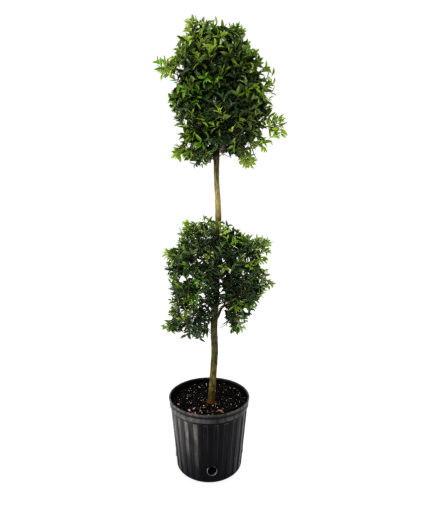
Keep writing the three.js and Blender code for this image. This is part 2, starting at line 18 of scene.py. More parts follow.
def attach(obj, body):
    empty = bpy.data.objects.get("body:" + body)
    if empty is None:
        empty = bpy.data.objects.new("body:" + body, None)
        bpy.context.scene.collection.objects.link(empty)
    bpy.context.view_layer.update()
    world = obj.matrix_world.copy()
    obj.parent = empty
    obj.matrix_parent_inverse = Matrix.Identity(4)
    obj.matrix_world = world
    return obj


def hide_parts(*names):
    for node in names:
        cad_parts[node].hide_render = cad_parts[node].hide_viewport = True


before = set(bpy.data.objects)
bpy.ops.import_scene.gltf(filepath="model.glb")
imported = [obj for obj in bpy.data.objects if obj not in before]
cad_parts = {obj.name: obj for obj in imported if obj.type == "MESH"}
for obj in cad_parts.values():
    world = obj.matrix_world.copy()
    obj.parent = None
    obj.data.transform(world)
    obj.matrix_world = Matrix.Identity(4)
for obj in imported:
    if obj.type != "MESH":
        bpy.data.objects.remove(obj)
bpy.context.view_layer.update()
MM = 0.001
print("solids in the frame:", len(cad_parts))

# %% [markdown]
# Repeatable chance
#
# A plant needs unevenness, and the same plant has to grow on every run. Every uneven
# choice below comes from one of these seeded streams, which are small enough to be
# written out here, so they don't depend on the version of any library.


# %% Seeded streams and easing
def seeded(seed):
    """Repeatable random numbers from 0 to 1."""
    whole = 0xFFFFFFFF
    state = seed & whole

    def draw():
        nonlocal state
        state = (state + 0x6D2B79F5) & whole
        t = ((state ^ (state >> 15)) * (state | 1)) & whole
        t ^= (t + (((t ^ (t >> 7)) * (t | 61)) & whole)) & whole
        return ((t ^ (t >> 14)) & whole) / 4294967296

    return draw


def ease(t):
    """A soft step from 0 to 1."""
    t = np.clip(t, 0, 1)
    return t * t * (3 - 2 * t)


def lerp(a, b, t):
    return a + (b - a) * t


print("first draw of stream 12:", round(seeded(12)(), 4))

# %% [markdown]
# From numbers to meshes
#
# Pot, mix, stem and boughs are all rings of points stacked along a line, so one helper
# makes the faces between rings. Each ring runs counter-clockwise seen from the end of
# the line, which makes the faces point outwards, and both ends are closed by a fan of
# triangles round a middle point.


# %% Ring meshes
def ring_mesh(name, rings, first, last):
    """A closed mesh through rings of points in millimetres, with a pole at each end."""
    rows, sides, _ = rings.shape
    points = np.concatenate([rings.reshape(-1, 3), [first, last]]) * MM
    here = np.arange(sides)
    after = (here + 1) % sides
    faces = []
    for row in range(rows - 1):
        low = row * sides
        high = low + sides
        faces += np.stack([low + here, low + after, high + after, high + here], 1).tolist()
    bottom = rows * sides
    top = bottom + 1
    faces += [[bottom, int(b), int(a)] for a, b in zip(here, after)]
    end = (rows - 1) * sides
    faces += [[top, int(end + a), int(end + b)] for a, b in zip(here, after)]
    mesh = bpy.data.meshes.new(name)
    mesh.from_pydata(points.tolist(), [], faces)
    mesh.update()
    mesh.shade_smooth()
    return mesh


def new_object(name, mesh, *materials):
    made = bpy.data.objects.new(name, mesh)
    for material in materials:
        mesh.materials.append(material)
    bpy.context.scene.collection.objects.link(made)
    return made


def finish_piece(piece, slot, *nodes):
    """Hand a finished piece to the frame: what it rides on and stands for; slot, what it is made of, is not
    used.
    """
    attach(piece, "root")
    if nodes:
        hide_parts(*nodes)
    piece.data.calc_loop_triangles()
    print(piece.name, len(piece.data.loop_triangles), "triangles")


# %% [markdown]
# Geometry Nodes in a script
#
# What repeats on this plant is made by Geometry Nodes: drain rings, perlite, chips of
# bark, twigs and leaves. Each tree is built from code, has named inputs for its sizes,
# and ends in real mesh with its material on. The helper below runs a tree on an object
# and returns the result as a plain mesh, with the modifier and the helper object gone.


# %% Helpers for node trees
def geometry_tree(name, inputs):
    """An empty geometry tree with named inputs: each a name, a socket type and a value."""
    tree = bpy.data.node_groups.new(name, "GeometryNodeTree")
    faces = tree.interface
    faces.new_socket("Geometry", in_out="INPUT", socket_type="NodeSocketGeometry")
    for label, kind, value in inputs:
        socket = faces.new_socket(label, in_out="INPUT", socket_type="NodeSocket" + kind)
        if value is not None:
            socket.default_value = value
    faces.new_socket("Geometry", in_out="OUTPUT", socket_type="NodeSocketGeometry")
    return tree, tree.nodes.new("NodeGroupInput"), tree.nodes.new("NodeGroupOutput")


def add_node(tree, kind, settings=None, **links):
    """A node with its settings, its plain values, and links into its sockets by name."""
    node = tree.nodes.new(kind)
    for key, value in (settings or {}).items():
        setattr(node, key, value)
    for label, value in links.items():
        socket = node.inputs[label.replace("_", " ")]
        if isinstance(value, bpy.types.NodeSocket):
            tree.links.new(value, socket)
        else:
            socket.default_value = value
    return node


def run_tree(name, source, tree, values):
    """The mesh object that a tree makes of a source object, which is then removed."""
    modifier = source.modifiers.new("grow", "NODES")
    modifier.node_group = tree
    for item in tree.interface.items_tree:
        if item.item_type == "SOCKET" and item.in_out == "INPUT" and item.name in values:
            modifier[item.identifier] = values[item.name]
    depsgraph = bpy.context.evaluated_depsgraph_get()
    mesh = bpy.data.meshes.new_from_object(source.evaluated_get(depsgraph))
    source.modifiers.remove(modifier)
    bpy.data.objects.remove(source)
    mesh.name = name
    made = bpy.data.objects.new(name, mesh)
    bpy.context.scene.collection.objects.link(made)
    return made


# %% [markdown]
# Camera
#
# The view was worked out from the pot's rim and foot, which are circles of known size:
# the lens stands a little above the middle of the plant, 1.3 metres in front of it, and
# looks down by about seven and a half degrees. The focal length is measured in pixels
# of an image 425 wide and 515 high, and Blender wants it in millimetres on a 36 mm
# sensor side.

# %% Set the camera
image_height = 515
focal_pixels = 390
sensor_side = 36
look_down = 7.53
lens_place = (0.0116, -1.2856, 0.906)
nearest_seen = 0.05

lens = bpy.data.cameras.new("camera")
lens.sensor_width = sensor_side
lens.lens = sensor_side * focal_pixels / image_height
lens.clip_start = nearest_seen
camera = bpy.data.objects.new("camera", lens)
camera.location = lens_place
camera.rotation_euler = (math.radians(90 - look_down), 0, 0)
bpy.context.scene.collection.objects.link(camera)
bpy.context.scene.camera = camera
print("lens in millimetres:", round(lens.lens, 2))

# %% [markdown]
# Studio
#
# The plant stands before a bright backdrop, so most light comes from behind and above,
# and the side that faces the viewer is dim. That is what makes the edges of the balls
# glow and their middles nearly black. The world gives it: its light falls off with the
# angle from one direction, while the lens itself sees plain white. A lamp in front at
# the left makes the sheen on the pot and the glints on the leaves, one behind and above
# picks out the topmost shoots, and a weaker one lights the right flank. The floor looks
# no brighter than the backdrop, so that no glare eats the fine edges of the leaves.

# %% World
light_from = Vector((-0.15, 0.60, 0.72)).normalized()
seen_white = 0.72
white = (1.0, 1.0, 1.0, 1)
# How strongly the world shines, by how far a direction turns towards the light.
falloff = {"From Min": -0.5, "From Max": 0.8, "To Min": 0.42, "To Max": 1.45}

world = bpy.data.worlds.new("studio")
world.use_nodes = True
heavens = world.node_tree
plain = heavens.nodes["Background"]
plain.inputs["Color"].default_value = white
plain.inputs["Strength"].default_value = seen_white
around = add_node(heavens, "ShaderNodeTexCoord").outputs["Generated"]
facing = add_node(heavens, "ShaderNodeVectorMath", {"operation": "DOT_PRODUCT"})
heavens.links.new(around, facing.inputs[0])
facing.inputs[1].default_value = light_from
level = add_node(heavens, "ShaderNodeMapRange", Value=facing.outputs["Value"])
for label, value in falloff.items():
    level.inputs[label].default_value = value
shaded = add_node(heavens, "ShaderNodeBackground", Strength=level.outputs[0])
shaded.inputs["Color"].default_value = white
seen = add_node(heavens, "ShaderNodeLightPath").outputs["Is Camera Ray"]
both = add_node(heavens, "ShaderNodeMixShader", Fac=seen)
heavens.links.new(shaded.outputs[0], both.inputs[1])
heavens.links.new(plain.outputs[0], both.inputs[2])
heavens.links.new(both.outputs[0], heavens.nodes["World Output"].inputs["Surface"])
bpy.context.scene.world = world
bpy.context.scene.view_settings.view_transform = "Standard"
bpy.context.scene.view_settings.look = "High Contrast"
print("light comes from:", [round(c, 2) for c in light_from])

# %% Floor and lamps
# The floor as it lights the plant, and the glow and the shadow that the lens sees on it.
floor_reach = 14.0
floor_tone = (0.80, 0.80, 0.80, 1)
floor_glow = 0.18
seen_glow = 0.62
shadow_tone = (0.08, 0.08, 0.08, 1)

floor_mesh = bpy.data.meshes.new("floor")
corners = [(-floor_reach, -floor_reach, 0), (floor_reach, -floor_reach, 0)]
corners += [(floor_reach, floor_reach, 0), (-floor_reach, floor_reach, 0)]
floor_mesh.from_pydata(corners, [], [(0, 1, 2, 3)])
floor_paint = bpy.data.materials.new("floor_paint")
floor_paint.use_nodes = True
floor_shader = floor_paint.node_tree.nodes["Principled BSDF"]
floor_shader.inputs["Base Color"].default_value = floor_tone
floor_shader.inputs["Roughness"].default_value = 0.9
floor_shader.inputs["Specular IOR Level"].default_value = 0.0
floor_shader.inputs["Emission Color"].default_value = white
floor_shader.inputs["Emission Strength"].default_value = floor_glow
floor_tree = floor_paint.node_tree
glow = add_node(floor_tree, "ShaderNodeEmission", Color=white, Strength=seen_glow)
shadow = add_node(floor_tree, "ShaderNodeBsdfDiffuse", Color=shadow_tone)
pale = add_node(floor_tree, "ShaderNodeAddShader")
floor_tree.links.new(glow.outputs[0], pale.inputs[0])
floor_tree.links.new(shadow.outputs[0], pale.inputs[1])
by_lens = add_node(floor_tree, "ShaderNodeLightPath").outputs["Is Camera Ray"]
shown = add_node(floor_tree, "ShaderNodeMixShader", Fac=by_lens)
floor_tree.links.new(floor_shader.outputs[0], shown.inputs[1])
floor_tree.links.new(pale.outputs[0], shown.inputs[2])
floor_tree.links.new(shown.outputs[0], floor_tree.nodes["Material Output"].inputs["Surface"])
new_object("floor", floor_mesh, floor_paint)


def add_lamp(name, place, towards, size, power):
    """A round lamp at a place in metres, turned towards a point of the plant."""
    lamp = bpy.data.lights.new(name, "AREA")
    lamp.shape = "DISK"
    lamp.size = size
    lamp.energy = power
    holder = bpy.data.objects.new(name, lamp)
    holder.location = place
    holder.rotation_euler = (Vector(towards) - Vector(place)).to_track_quat("-Z", "Y").to_euler()
    bpy.context.scene.collection.objects.link(holder)


add_lamp("key", place=(-2.3, -1.3, 1.9), towards=(0, 0, 0.7), size=1.0, power=52)
add_lamp("back", place=(0.7, 2.2, 3.2), towards=(0, 0, 1.1), size=1.6, power=80)
add_lamp("side", place=(2.2, 0.7, 2.9), towards=(0, 0, 1.3), size=1.0, power=32)

# %% [markdown]
# Materials
#
# Every finish is a small node tree round one Principled shader. Numbers that are the
# same all over a surface sit on the shader's own sockets, and only colour, roughness
# and the bump vary. Patterns read Object coordinates, so they are tied to the plant and
# have the same size on every piece.


# %% Helpers for materials
class Finish:
    """One material being made: its shader, its Object coordinates and short node calls."""

    def __init__(self, name, **sockets):
        self.material = bpy.data.materials.new(name)
        self.material.use_nodes = True
        self.tree = self.material.node_tree
        self.shader = self.tree.nodes["Principled BSDF"]
        for label, value in sockets.items():
            self.shader.inputs[label.replace("_", " ")].default_value = value
        self.place = self.tree.nodes.new("ShaderNodeTexCoord").outputs["Object"]

    def stretch(self, x, y, z):
        """Object coordinates with another scale along each axis."""
        mapping = add_node(self.tree, "ShaderNodeMapping", Vector=self.place, Scale=(x, y, z))
        return mapping.outputs["Vector"]

    def noise(self, scale, detail=3.0, rough=0.55, along=None):
        """Cloudy noise from 0 to 1, its scale in features per metre."""
        node = add_node(
            self.tree,
            "ShaderNodeTexNoise",
            Vector=along or self.place,
            Scale=scale,
            Detail=detail,
            Roughness=rough,
        )
        return node.outputs["Fac"]

    def attribute(self, name):
        """A grey value that the mesh itself carries at its points."""
        return add_node(self.tree, "ShaderNodeAttribute", {"attribute_name": name}).outputs["Fac"]

    def ramp(self, value, *stops):
        """Colours or greys by value: each stop a place from 0 to 1 and a colour."""
        node = add_node(self.tree, "ShaderNodeValToRGB", Fac=value)
        elements = node.color_ramp.elements
        while len(elements) < len(stops):
            elements.new(0.5)
        for element, (at, colour) in zip(elements, stops):
            element.position = at
            element.color = (*colour, 1) if isinstance(colour, tuple) else (colour, colour, colour, 1)
        return node.outputs["Color"]

    def blend(self, share, first, second, way="MIX"):
        """Two colours mixed; the node's colour sockets share names, so they go by number."""
        node = add_node(self.tree, "ShaderNodeMix", {"data_type": "RGBA", "blend_type": way})
        for socket, value in zip((node.inputs[0], node.inputs[6], node.inputs[7]), (share, first, second)):
            if isinstance(value, bpy.types.NodeSocket):
                self.tree.links.new(value, socket)
            else:
                socket.default_value = value
        return node.outputs[2]

    def colour(self, value):
        self.tree.links.new(value, self.shader.inputs["Base Color"])

    def rough(self, value):
        self.tree.links.new(value, self.shader.inputs["Roughness"])

    def bump(self, height, depth, strength=1.0):
        """Relief from a grey value, its depth in millimetres."""
        node = add_node(self.tree, "ShaderNodeBump", Height=height, Distance=depth * MM, Strength=strength)
        self.tree.links.new(node.outputs["Normal"], self.shader.inputs["Normal"])


# %% [markdown]
# The pot
#
# It is blow-moulded black polyethylene: a tapering wall with twenty-four raised and
# twenty-four sunken panels, a broad band under a groove and a lip, and a rounded heel.
# The shape follows a rule, so it is worked out as one profile turned round the axis,
# and the panels move the outside of the wall in and out as the angle runs. The inside
# stays a smooth cone, as it is seen above the mix.

# %% Sizes of the pot
pot = {"height": 254, "foot": 105, "base": 113, "slope": 20 / 218, "wall": 2.2, "hollow": 1.6}
cavity_floor = 3.7
flutes = {"count": 24, "depth": 2.4, "phase": 2.9, "heel": 9, "foot": 18, "top": 214, "ease": 4}
# Where the step from a raised to a sunken panel starts and ends, as a share of a flute.
flute_edges = (0.27, 0.33)
rim_radius = 140
# How far each edge of the rim lies below the top of the pot.
rim = {"foot": 30, "band": 28, "band_top": 17, "groove": 14, "groove_top": 7}
rim.update({"lip": 5.5, "lip_edge": 2, "mouth": 8})
crease = math.radians(50)


def wall_radius(z):
    """Radius of the outside at a height, on the raised panels."""
    return pot["base"] + pot["slope"] * z


def cavity_radius(z):
    """Radius of the inside at a height."""
    return wall_radius(z) - flutes["depth"] - pot["wall"]


# %% The pot's profile
most_rounding = 0.48


def rounded(corners, steps=5):
    """Points along a profile of (radius, height, rounding) corners, each corner a curve."""
    line = []
    for i, (r, z, soft) in enumerate(corners):
        corner = Vector((r, z))
        if soft == 0 or i in (0, len(corners) - 1):
            line.append(corner)
            continue
        before = Vector(corners[i - 1][:2]) - corner
        after = Vector(corners[i + 1][:2]) - corner
        start = corner + before * min(soft / before.length, most_rounding)
        end = corner + after * min(soft / after.length, most_rounding)
        for k in range(steps + 1):
            t = k / steps
            line.append(start * (1 - t) ** 2 + corner * 2 * t * (1 - t) + end * t * t)
    return line


def spaced(line, most):
    """The same profile with extra points, so that no span is longer than most."""
    points = [line[0]]
    for end in line[1:]:
        count = max(1, math.ceil((end - points[-1]).length / most))
        start = points[-1]
        points += [start.lerp(end, (k + 1) / count) for k in range(count)]
    return points


def on_wall(z, out=0.0):
    return wall_radius(z) + out


top = pot["height"]
axis = 0.01
groove = on_wall(top - rim["groove"], 0.6)
# From the middle of the underside out, up the wall and over the lip: radius, height and
# rounding of each corner.
outside = [
    (axis, pot["hollow"], 0),
    (96, pot["hollow"], 1),
    (99, 0, 1.5),
    (pot["foot"], 0, 3),
    (on_wall(9, -0.6), 7.5, 5),
    (on_wall(12), 12, 1),
    (on_wall(top - rim["foot"] - 6), top - rim["foot"] - 6, 2),
    (on_wall(top - rim["foot"]), top - rim["foot"], 1.2),
    (on_wall(top - rim["band"], 3.2), top - rim["band"], 1.2),
    (on_wall(top - rim["band_top"], 2.6), top - rim["band_top"], 1.6),
    (groove, top - rim["groove"], 1.2),
    (on_wall(top - rim["groove_top"], 0.6), top - rim["groove_top"], 1.2),
    (rim_radius - 0.8, top - rim["lip"], 1),
    (rim_radius, top - rim["lip_edge"], 1.4),
    (rim_radius - 1.4, top, 1.4),
    (on_wall(top, -1.2), top, 1.6),
    (on_wall(top - rim["mouth"], -2.4), top - rim["mouth"], 2),
]
inside = [
    (cavity_radius(top - rim["foot"]), top - rim["foot"] - 3, 2),
    (cavity_radius(10), 10, 5),
    (cavity_radius(10) - 6, cavity_floor, 3),
    (axis, cavity_floor, 0),
]
longest_span = 6
outer_rows = len(spaced(rounded(outside), longest_span))
profile = spaced(rounded(outside + inside), longest_span)
print("rows in the pot's profile:", len(profile))

# %% Where dust and painted sheen lie
# The side where the sheen is painted on, by its azimuth, how squarely a place has to face
# it, and what the other sides get; how dust and painted sheen thin out towards the heel;
# and the share of each part, with little in the groove, which paints it darker as shade.
sheen_side = {"from": -137, "rest": 0.05, "starts": 0.78, "over": 0.13}
rise = {"least": 0.12, "from": 20, "over": 170}
dust_and_sheen_parts = {"raised": 0.22, "sunken": 0.78, "steps": 0.30, "groove": 0.15, "rim": 0.75, "off_sheen": 0.5}


def dust_at(row, z, sunk, angles):
    """Share of dust and painted sheen: sheen mostly on the front left, also in sunken panels, on steps and
    rim; painted shade in the groove.
    """
    if row >= outer_rows:
        return np.zeros_like(sunk)
    turned = np.cos(angles - math.radians(sheen_side["from"]))
    # Painted sheen: the side that faces the front left gets far more of the pale colour.
    toward_sheen = lerp(sheen_side["rest"], 1.0, ease((turned - sheen_side["starts"]) / sheen_side["over"]))
    # Dust and painted sheen both thin out towards the heel.
    rising = lerp(rise["least"], 1.0, float(ease((z - rise["from"]) / rise["over"])))
    if z < top - rim["foot"]:
        step = 4 * sunk * (1 - sunk)
        return ((dust_and_sheen_parts["raised"] + dust_and_sheen_parts["sunken"] * sunk) * toward_sheen + dust_and_sheen_parts["steps"] * step) * rising
    # The groove gets little, which paints it darker, as shade in a recess.
    in_groove = top - rim["groove"] - 1 < z < top - rim["groove_top"] + 1
    return dust_and_sheen_parts["groove" if in_groove else "rim"] * lerp(dust_and_sheen_parts["off_sheen"], 1.0, toward_sheen)


# %% Turn the profile with its flutes
steps_per_panel = 5
steps_per_edge = 4
raised = np.linspace(-flute_edges[0], flute_edges[0], steps_per_panel + 1)
fall = np.linspace(*flute_edges, steps_per_edge + 1)[1:]
sunken = np.linspace(flute_edges[1], 1 - flute_edges[1], steps_per_panel + 1)[1:]
climb = np.linspace(1 - flute_edges[1], 1 - flute_edges[0], steps_per_edge + 1)[1:-1]
one_flute = np.concatenate([raised, fall, sunken, climb])
shares = (np.arange(flutes["count"])[:, None] + one_flute[None, :]).ravel()
angles = np.radians(flutes["phase"]) + shares * math.tau / flutes["count"]
sunk = ease((np.abs((shares + 0.5) % 1 - 0.5) - flute_edges[0]) / (flute_edges[1] - flute_edges[0]))

rows = []
dust_and_sheen_rows = []
for index, (radius, height) in enumerate(profile):
    fade = ease((height - flutes["heel"]) / (flutes["foot"] - flutes["heel"]))
    fade *= 1 - ease((height - flutes["top"]) / flutes["ease"])
    fluted = index < outer_rows and radius > pot["foot"]
    depth = flutes["depth"] * fade * sunk * fluted
    around = radius - depth
    rows.append(np.stack([around * np.cos(angles), around * np.sin(angles), np.full_like(angles, height)], 1))
    dust_and_sheen_rows.append(dust_at(index, height, fade * sunk, angles))
pot_mesh = ring_mesh("pot_shell", np.array(rows), (0, 0, pot["hollow"]), (0, 0, cavity_floor))
dust_and_sheen_values = np.concatenate([np.array(dust_and_sheen_rows).ravel(), [0.0, 0.0]])
pot_mesh.attributes.new("dust_and_sheen", "FLOAT", "POINT").data.foreach_set("value", dust_and_sheen_values)
pot_mesh.set_sharp_from_angle(angle=crease)
print("points round the pot:", len(angles))

# %% [markdown]
# Drain holes
#
# Four round holes low in the wall let water out. The mix lies right behind them. A
# Boolean cuts each one with a plain round bar, and a thin ring stands proud round it.
# The ring is one mesh that Geometry Nodes set round the pot four times.

# %% Cut the drain holes
drain = {"count": 4, "radius": 15, "height": 50, "azimuth": -85, "sides": 48}
# The ring round a hole: its width, how far it stands out and sits in the wall, and how
# far its edges are rounded. The cutting bar reaches past both sides of the wall.
collar = {"width": 1.8, "stands": 0.9, "sits": 3.2, "soft": 0.5}
cut_reach = {"inwards": 12, "outwards": 6}


def radial_bar(name, radius, inner, outer, sides, width=0.0, azimuth=0.0):
    """A bar along +X turned to an azimuth, or with a width a ring with a rounded front."""
    turn = Matrix.Rotation(math.radians(azimuth), 4, "Z")
    steps = [(inner, radius), (outer, radius)]
    if width:
        outer_edge = radius + width
        soft = collar["soft"]
        steps = [(inner, outer_edge), (outer - soft, outer_edge), (outer, outer_edge - soft)]
        steps += [(outer, radius + soft), (outer - soft, radius), (inner, radius)]
    rings = []
    for far, wide in steps:
        ring = []
        for k in range(sides):
            a = math.tau * k / sides
            ring.append(turn @ Vector((far, wide * math.cos(a), drain["height"] + wide * math.sin(a))))
        rings.append(ring)
    if not width:
        first = turn @ Vector((inner, 0, drain["height"]))
        last = turn @ Vector((outer, 0, drain["height"]))
        return ring_mesh(name, np.array(rings), first, last)
    count = len(steps)
    points = [tuple(p * MM) for ring in rings for p in ring]
    faces = []
    for row in range(count):
        for k in range(sides):
            low, high = row * sides, (row + 1) % count * sides
            after = (k + 1) % sides
            faces.append((low + k, low + after, high + after, high + k))
    mesh = bpy.data.meshes.new(name)
    mesh.from_pydata(points, [], faces)
    mesh.shade_smooth()
    mesh.set_sharp_from_angle(angle=crease)
    return mesh


pot_piece = new_object("pot_shell", pot_mesh)
wall_here = wall_radius(drain["height"])
cutters = []
for i in range(drain["count"]):
    azimuth = drain["azimuth"] + 360 * i / drain["count"]
    inner, outer = wall_here - cut_reach["inwards"], wall_here + cut_reach["outwards"]
    bar = radial_bar("bar", drain["radius"], inner, outer, drain["sides"], azimuth=azimuth)
    cutters.append(new_object("bar", bar))
    cut = pot_piece.modifiers.new("hole", "BOOLEAN")
    cut.operation = "DIFFERENCE"
    cut.solver = "EXACT"
    cut.object = cutters[-1]
depsgraph = bpy.context.evaluated_depsgraph_get()
cut_mesh = bpy.data.meshes.new_from_object(pot_piece.evaluated_get(depsgraph))
pot_piece.modifiers.clear()
pot_piece.data = cut_mesh
cut_mesh.name = "pot_shell"
for cutter in cutters:
    bpy.data.objects.remove(cutter)
print("faces after the cut:", len(cut_mesh.polygons))

# %% [markdown]
# Black plastic
#
# Nursery pots are never clean black. The skin has a soft sheen, and pale dust lies in
# upright streaks where water ran down: it settles in the sunken panels and on the rim.
# The same pale colour is also a painted sheen, laid on far more thickly on the front
# left, where it stands for a reflection. Both thin out towards the heel, and the groove
# under the lip gets little, as painted shade. The mesh itself says how much dust and
# painted sheen a place holds. In the material that value is broken up by noise
# stretched downwards, and a fine bump breaks the reflection as moulded plastic does.

# %% Plastic material
plastic = Finish("pot_plastic", Roughness=0.42, Specular_IOR_Level=0.08)
dust_and_sheen_mask = plastic.attribute("dust_and_sheen")
streaks = plastic.noise(9.0, 4.0, 0.6, plastic.stretch(9, 9, 1.1))
specks = plastic.noise(420.0, 3.0, 0.6)
clouds = plastic.noise(26.0, 4.0, 0.6)
streaky = plastic.ramp(streaks, (0.34, 0.15), (0.66, 1.0))
cloudy = plastic.ramp(clouds, (0.40, 0.1), (0.70, 1.0))
patchy = plastic.blend(0.35, streaky, cloudy)
dust_and_sheen = plastic.blend(1.0, patchy, dust_and_sheen_mask, "MULTIPLY")
black = plastic.ramp(specks, (0.3, (0.0020, 0.0020, 0.0036)), (0.8, (0.0050, 0.0050, 0.0078)))
# Pale dust, and painted sheen where the mask is strong on the front left.
plastic.colour(plastic.blend(dust_and_sheen, black, (0.200, 0.190, 0.182, 1)))
plastic.rough(plastic.ramp(dust_and_sheen, (0.0, 0.36), (1.0, 0.75)))
plastic.bump(specks, 0.12, 0.5)

cut_mesh.materials.clear()
cut_mesh.materials.append(plastic.material)
finish_piece(pot_piece, "pot_plastic", "nursery_pot")

# %% Pale ring edge
ring_edge = Finish("drain_ring", Roughness=0.4, Specular_IOR_Level=0.4)
worn = ring_edge.noise(70.0, 3.0, 0.6)
ring_edge.colour(ring_edge.ramp(worn, (0.35, (0.02, 0.02, 0.022)), (0.6, (0.20, 0.195, 0.19))))
ring_edge.bump(ring_edge.noise(420.0, 3.0, 0.6), 0.1, 0.5)

# %% Drain rings set round the pot
inner, outer = wall_here - collar["sits"], wall_here + collar["stands"]
ring = radial_bar("drain_ring", drain["radius"], inner, outer, drain["sides"], collar["width"])
tree, given, made = geometry_tree(
    "set round the pot", [("Count", "Int", 4), ("First", "Float", 0.0), ("Material", "Material", None)]
)
dots = add_node(tree, "GeometryNodePoints", Count=given.outputs["Count"])
index = add_node(tree, "GeometryNodeInputIndex")
step = add_node(tree, "ShaderNodeMath", {"operation": "DIVIDE"})
step.inputs[0].default_value = math.tau
tree.links.new(given.outputs["Count"], step.inputs[1])
angle = add_node(tree, "ShaderNodeMath", {"operation": "MULTIPLY_ADD"})
tree.links.new(index.outputs[0], angle.inputs[0])
tree.links.new(step.outputs[0], angle.inputs[1])
tree.links.new(given.outputs["First"], angle.inputs[2])
turn = add_node(tree, "ShaderNodeCombineXYZ", Z=angle.outputs[0])
copies = add_node(
    tree,
    "GeometryNodeInstanceOnPoints",
    Points=dots.outputs[0],
    Instance=given.outputs["Geometry"],
    Rotation=turn.outputs[0],
)
real = add_node(tree, "GeometryNodeRealizeInstances", Geometry=copies.outputs[0])
paint = given.outputs["Material"]
painted = add_node(tree, "GeometryNodeSetMaterial", Geometry=real.outputs[0], Material=paint)
tree.links.new(painted.outputs[0], made.inputs[0])
rings_piece = run_tree(
    "drain_rings",
    new_object("ring", ring),
    tree,
    {"Count": drain["count"], "First": math.radians(drain["azimuth"]), "Material": ring_edge.material},
)
finish_piece(rings_piece, "pot_plastic")

# %% [markdown]
# The potting mix
#
# Bark, peat and perlite fill the pot to 23 millimetres under its rim, and a little
# higher towards the back, where the mix is banked up. The body is one lumpy disc; noise
# in three sizes makes heaps, lumps and crumbs. It is flat where the stem stands, so
# that the stem's foot stays closed.

# %% Sizes of the mix and the stem's foot
soil_top = 231
seat = Vector((6, -8))
flat = {"radius": 13, "over": 16}
edge = {"radius": 96, "over": 34}
bank = {"rise": 9, "x": 0.42, "y": 0.91, "from": 20, "over": 90}
# Heaps, lumps and crumbs: how fine each noise is, how high, and its own layer.
unevenness = [(0.035, 3.2, 3), (0.14, 2.0, 9), (0.45, 1.0, 21)]
clear = 0.6


def soil_height(x, y):
    """Height of the mix: uneven, flat at its seat, falling to the wall, banked at the back."""
    uneven = sum(noise.noise(Vector((x, y, layer)) * fine) * high for fine, high, layer in unevenness)
    far = math.hypot(x - seat.x, y - seat.y)
    loose = float(ease((far - flat["radius"]) / flat["over"]))
    fallen = float(ease((math.hypot(x, y) - edge["radius"]) / edge["over"]))
    backwards = x * bank["x"] + y * bank["y"]
    banked = bank["rise"] * float(ease((backwards - bank["from"]) / bank["over"]))
    return soil_top + uneven * loose - fallen + banked


# %% The body of the mix
segments = 180
around = np.linspace(0, math.tau, segments, endpoint=False)
mix_floor = cavity_floor + clear
# The rings under the open surface: radius and height.
body_rows = [
    (cavity_radius(10) - 8, mix_floor),
    (cavity_radius(12) - clear, 12),
    (cavity_radius(60) - clear, 60),
    (cavity_radius(212) - clear, 212),
]
rings = []
for radius, height in body_rows:
    level = np.full(segments, float(height))
    rings.append(np.stack([radius * np.cos(around), radius * np.sin(around), level], 1))
open_rows = 64
widest = cavity_radius(220) - clear
narrowest = 1.5
for k in range(open_rows):
    radius = lerp(widest, narrowest, k / (open_rows - 1))
    towards = k / (open_rows - 1)
    ring = []
    for a in around:
        x = radius * math.cos(a) + seat.x * towards
        y = radius * math.sin(a) + seat.y * towards
        ring.append((x, y, soil_height(x, y)))
    rings.append(np.array(ring))
mix_mesh = ring_mesh("mix", np.array(rings), (0, 0, mix_floor), (seat.x, seat.y, soil_top))
print("mix rises to", round(max(v.co.z for v in mix_mesh.vertices) / MM, 1))

# %% Mix material
peat = Finish("bark_mix", Roughness=0.95, Specular_IOR_Level=0.06)
grains = peat.noise(330.0, 5.0, 0.7)
patches = peat.noise(60.0, 4.0, 0.6)
dark = peat.ramp(
    grains,
    (0.38, (0.0008, 0.0007, 0.0006)),
    (0.64, (0.0045, 0.0034, 0.0026)),
    (0.85, (0.026, 0.019, 0.013)),
)
peat.colour(peat.blend(peat.ramp(patches, (0.4, 0.0), (0.7, 0.6)), dark, (0.0025, 0.0020, 0.0016, 1)))
peat.bump(grains, 2.2, 1.0)

mix_piece = new_object("mix", mix_mesh, peat.material)
finish_piece(mix_piece, "bark_mix", "potting_mix")

# %% [markdown]
# What lies on the mix
#
# The surface is what tells it is bark mix: dark flakes of bark, a few fresh reddish
# ones, white grains of perlite and pale shreds of root. One tree scatters all four. It
# reads how many may lie at a place from a point attribute, picks one of several lumps
# for each, turns and scales it by chance, and makes the copies real.

# %% Lumps to scatter
lump_lean = 0.9
lump_pole = 1.1


def lump(name, size, seed, rough):
    """A small crumb: a stretched ball of few faces with uneven corners."""
    draw = seeded(seed)
    points = []
    faces = []
    ring_count, sides = 3, 6
    for ring_index in range(ring_count):
        lift = math.sin((ring_index - 1) * lump_lean)
        wide = math.cos((ring_index - 1) * lump_lean)
        for k in range(sides):
            a = math.tau * k / sides
            grow = 1 + rough * (draw() - 0.5)
            x = size[0] * wide * math.cos(a) * grow
            y = size[1] * wide * math.sin(a) * grow
            points.append((x, y, size[2] * lift * grow))
    points += [(0, 0, -size[2] * lump_pole), (0, 0, size[2] * lump_pole)]
    for ring_index in range(ring_count - 1):
        for k in range(sides):
            low = ring_index * sides
            after = (k + 1) % sides
            faces.append((low + k, low + after, low + sides + after, low + sides + k))
    bottom, peak = ring_count * sides, ring_count * sides + 1
    last = (ring_count - 1) * sides
    for k in range(sides):
        after = (k + 1) % sides
        faces.append((bottom, after, k))
        faces.append((peak, last + k, last + after))
    mesh = bpy.data.meshes.new(name)
    mesh.from_pydata([tuple(c * MM for c in p) for p in points], [], faces)
    mesh.update()
    return bpy.data.objects.new(name, mesh)


def collection_of(name, objects):
    group = bpy.data.collections.new(name)
    for one in objects:
        group.objects.link(one)
    return group


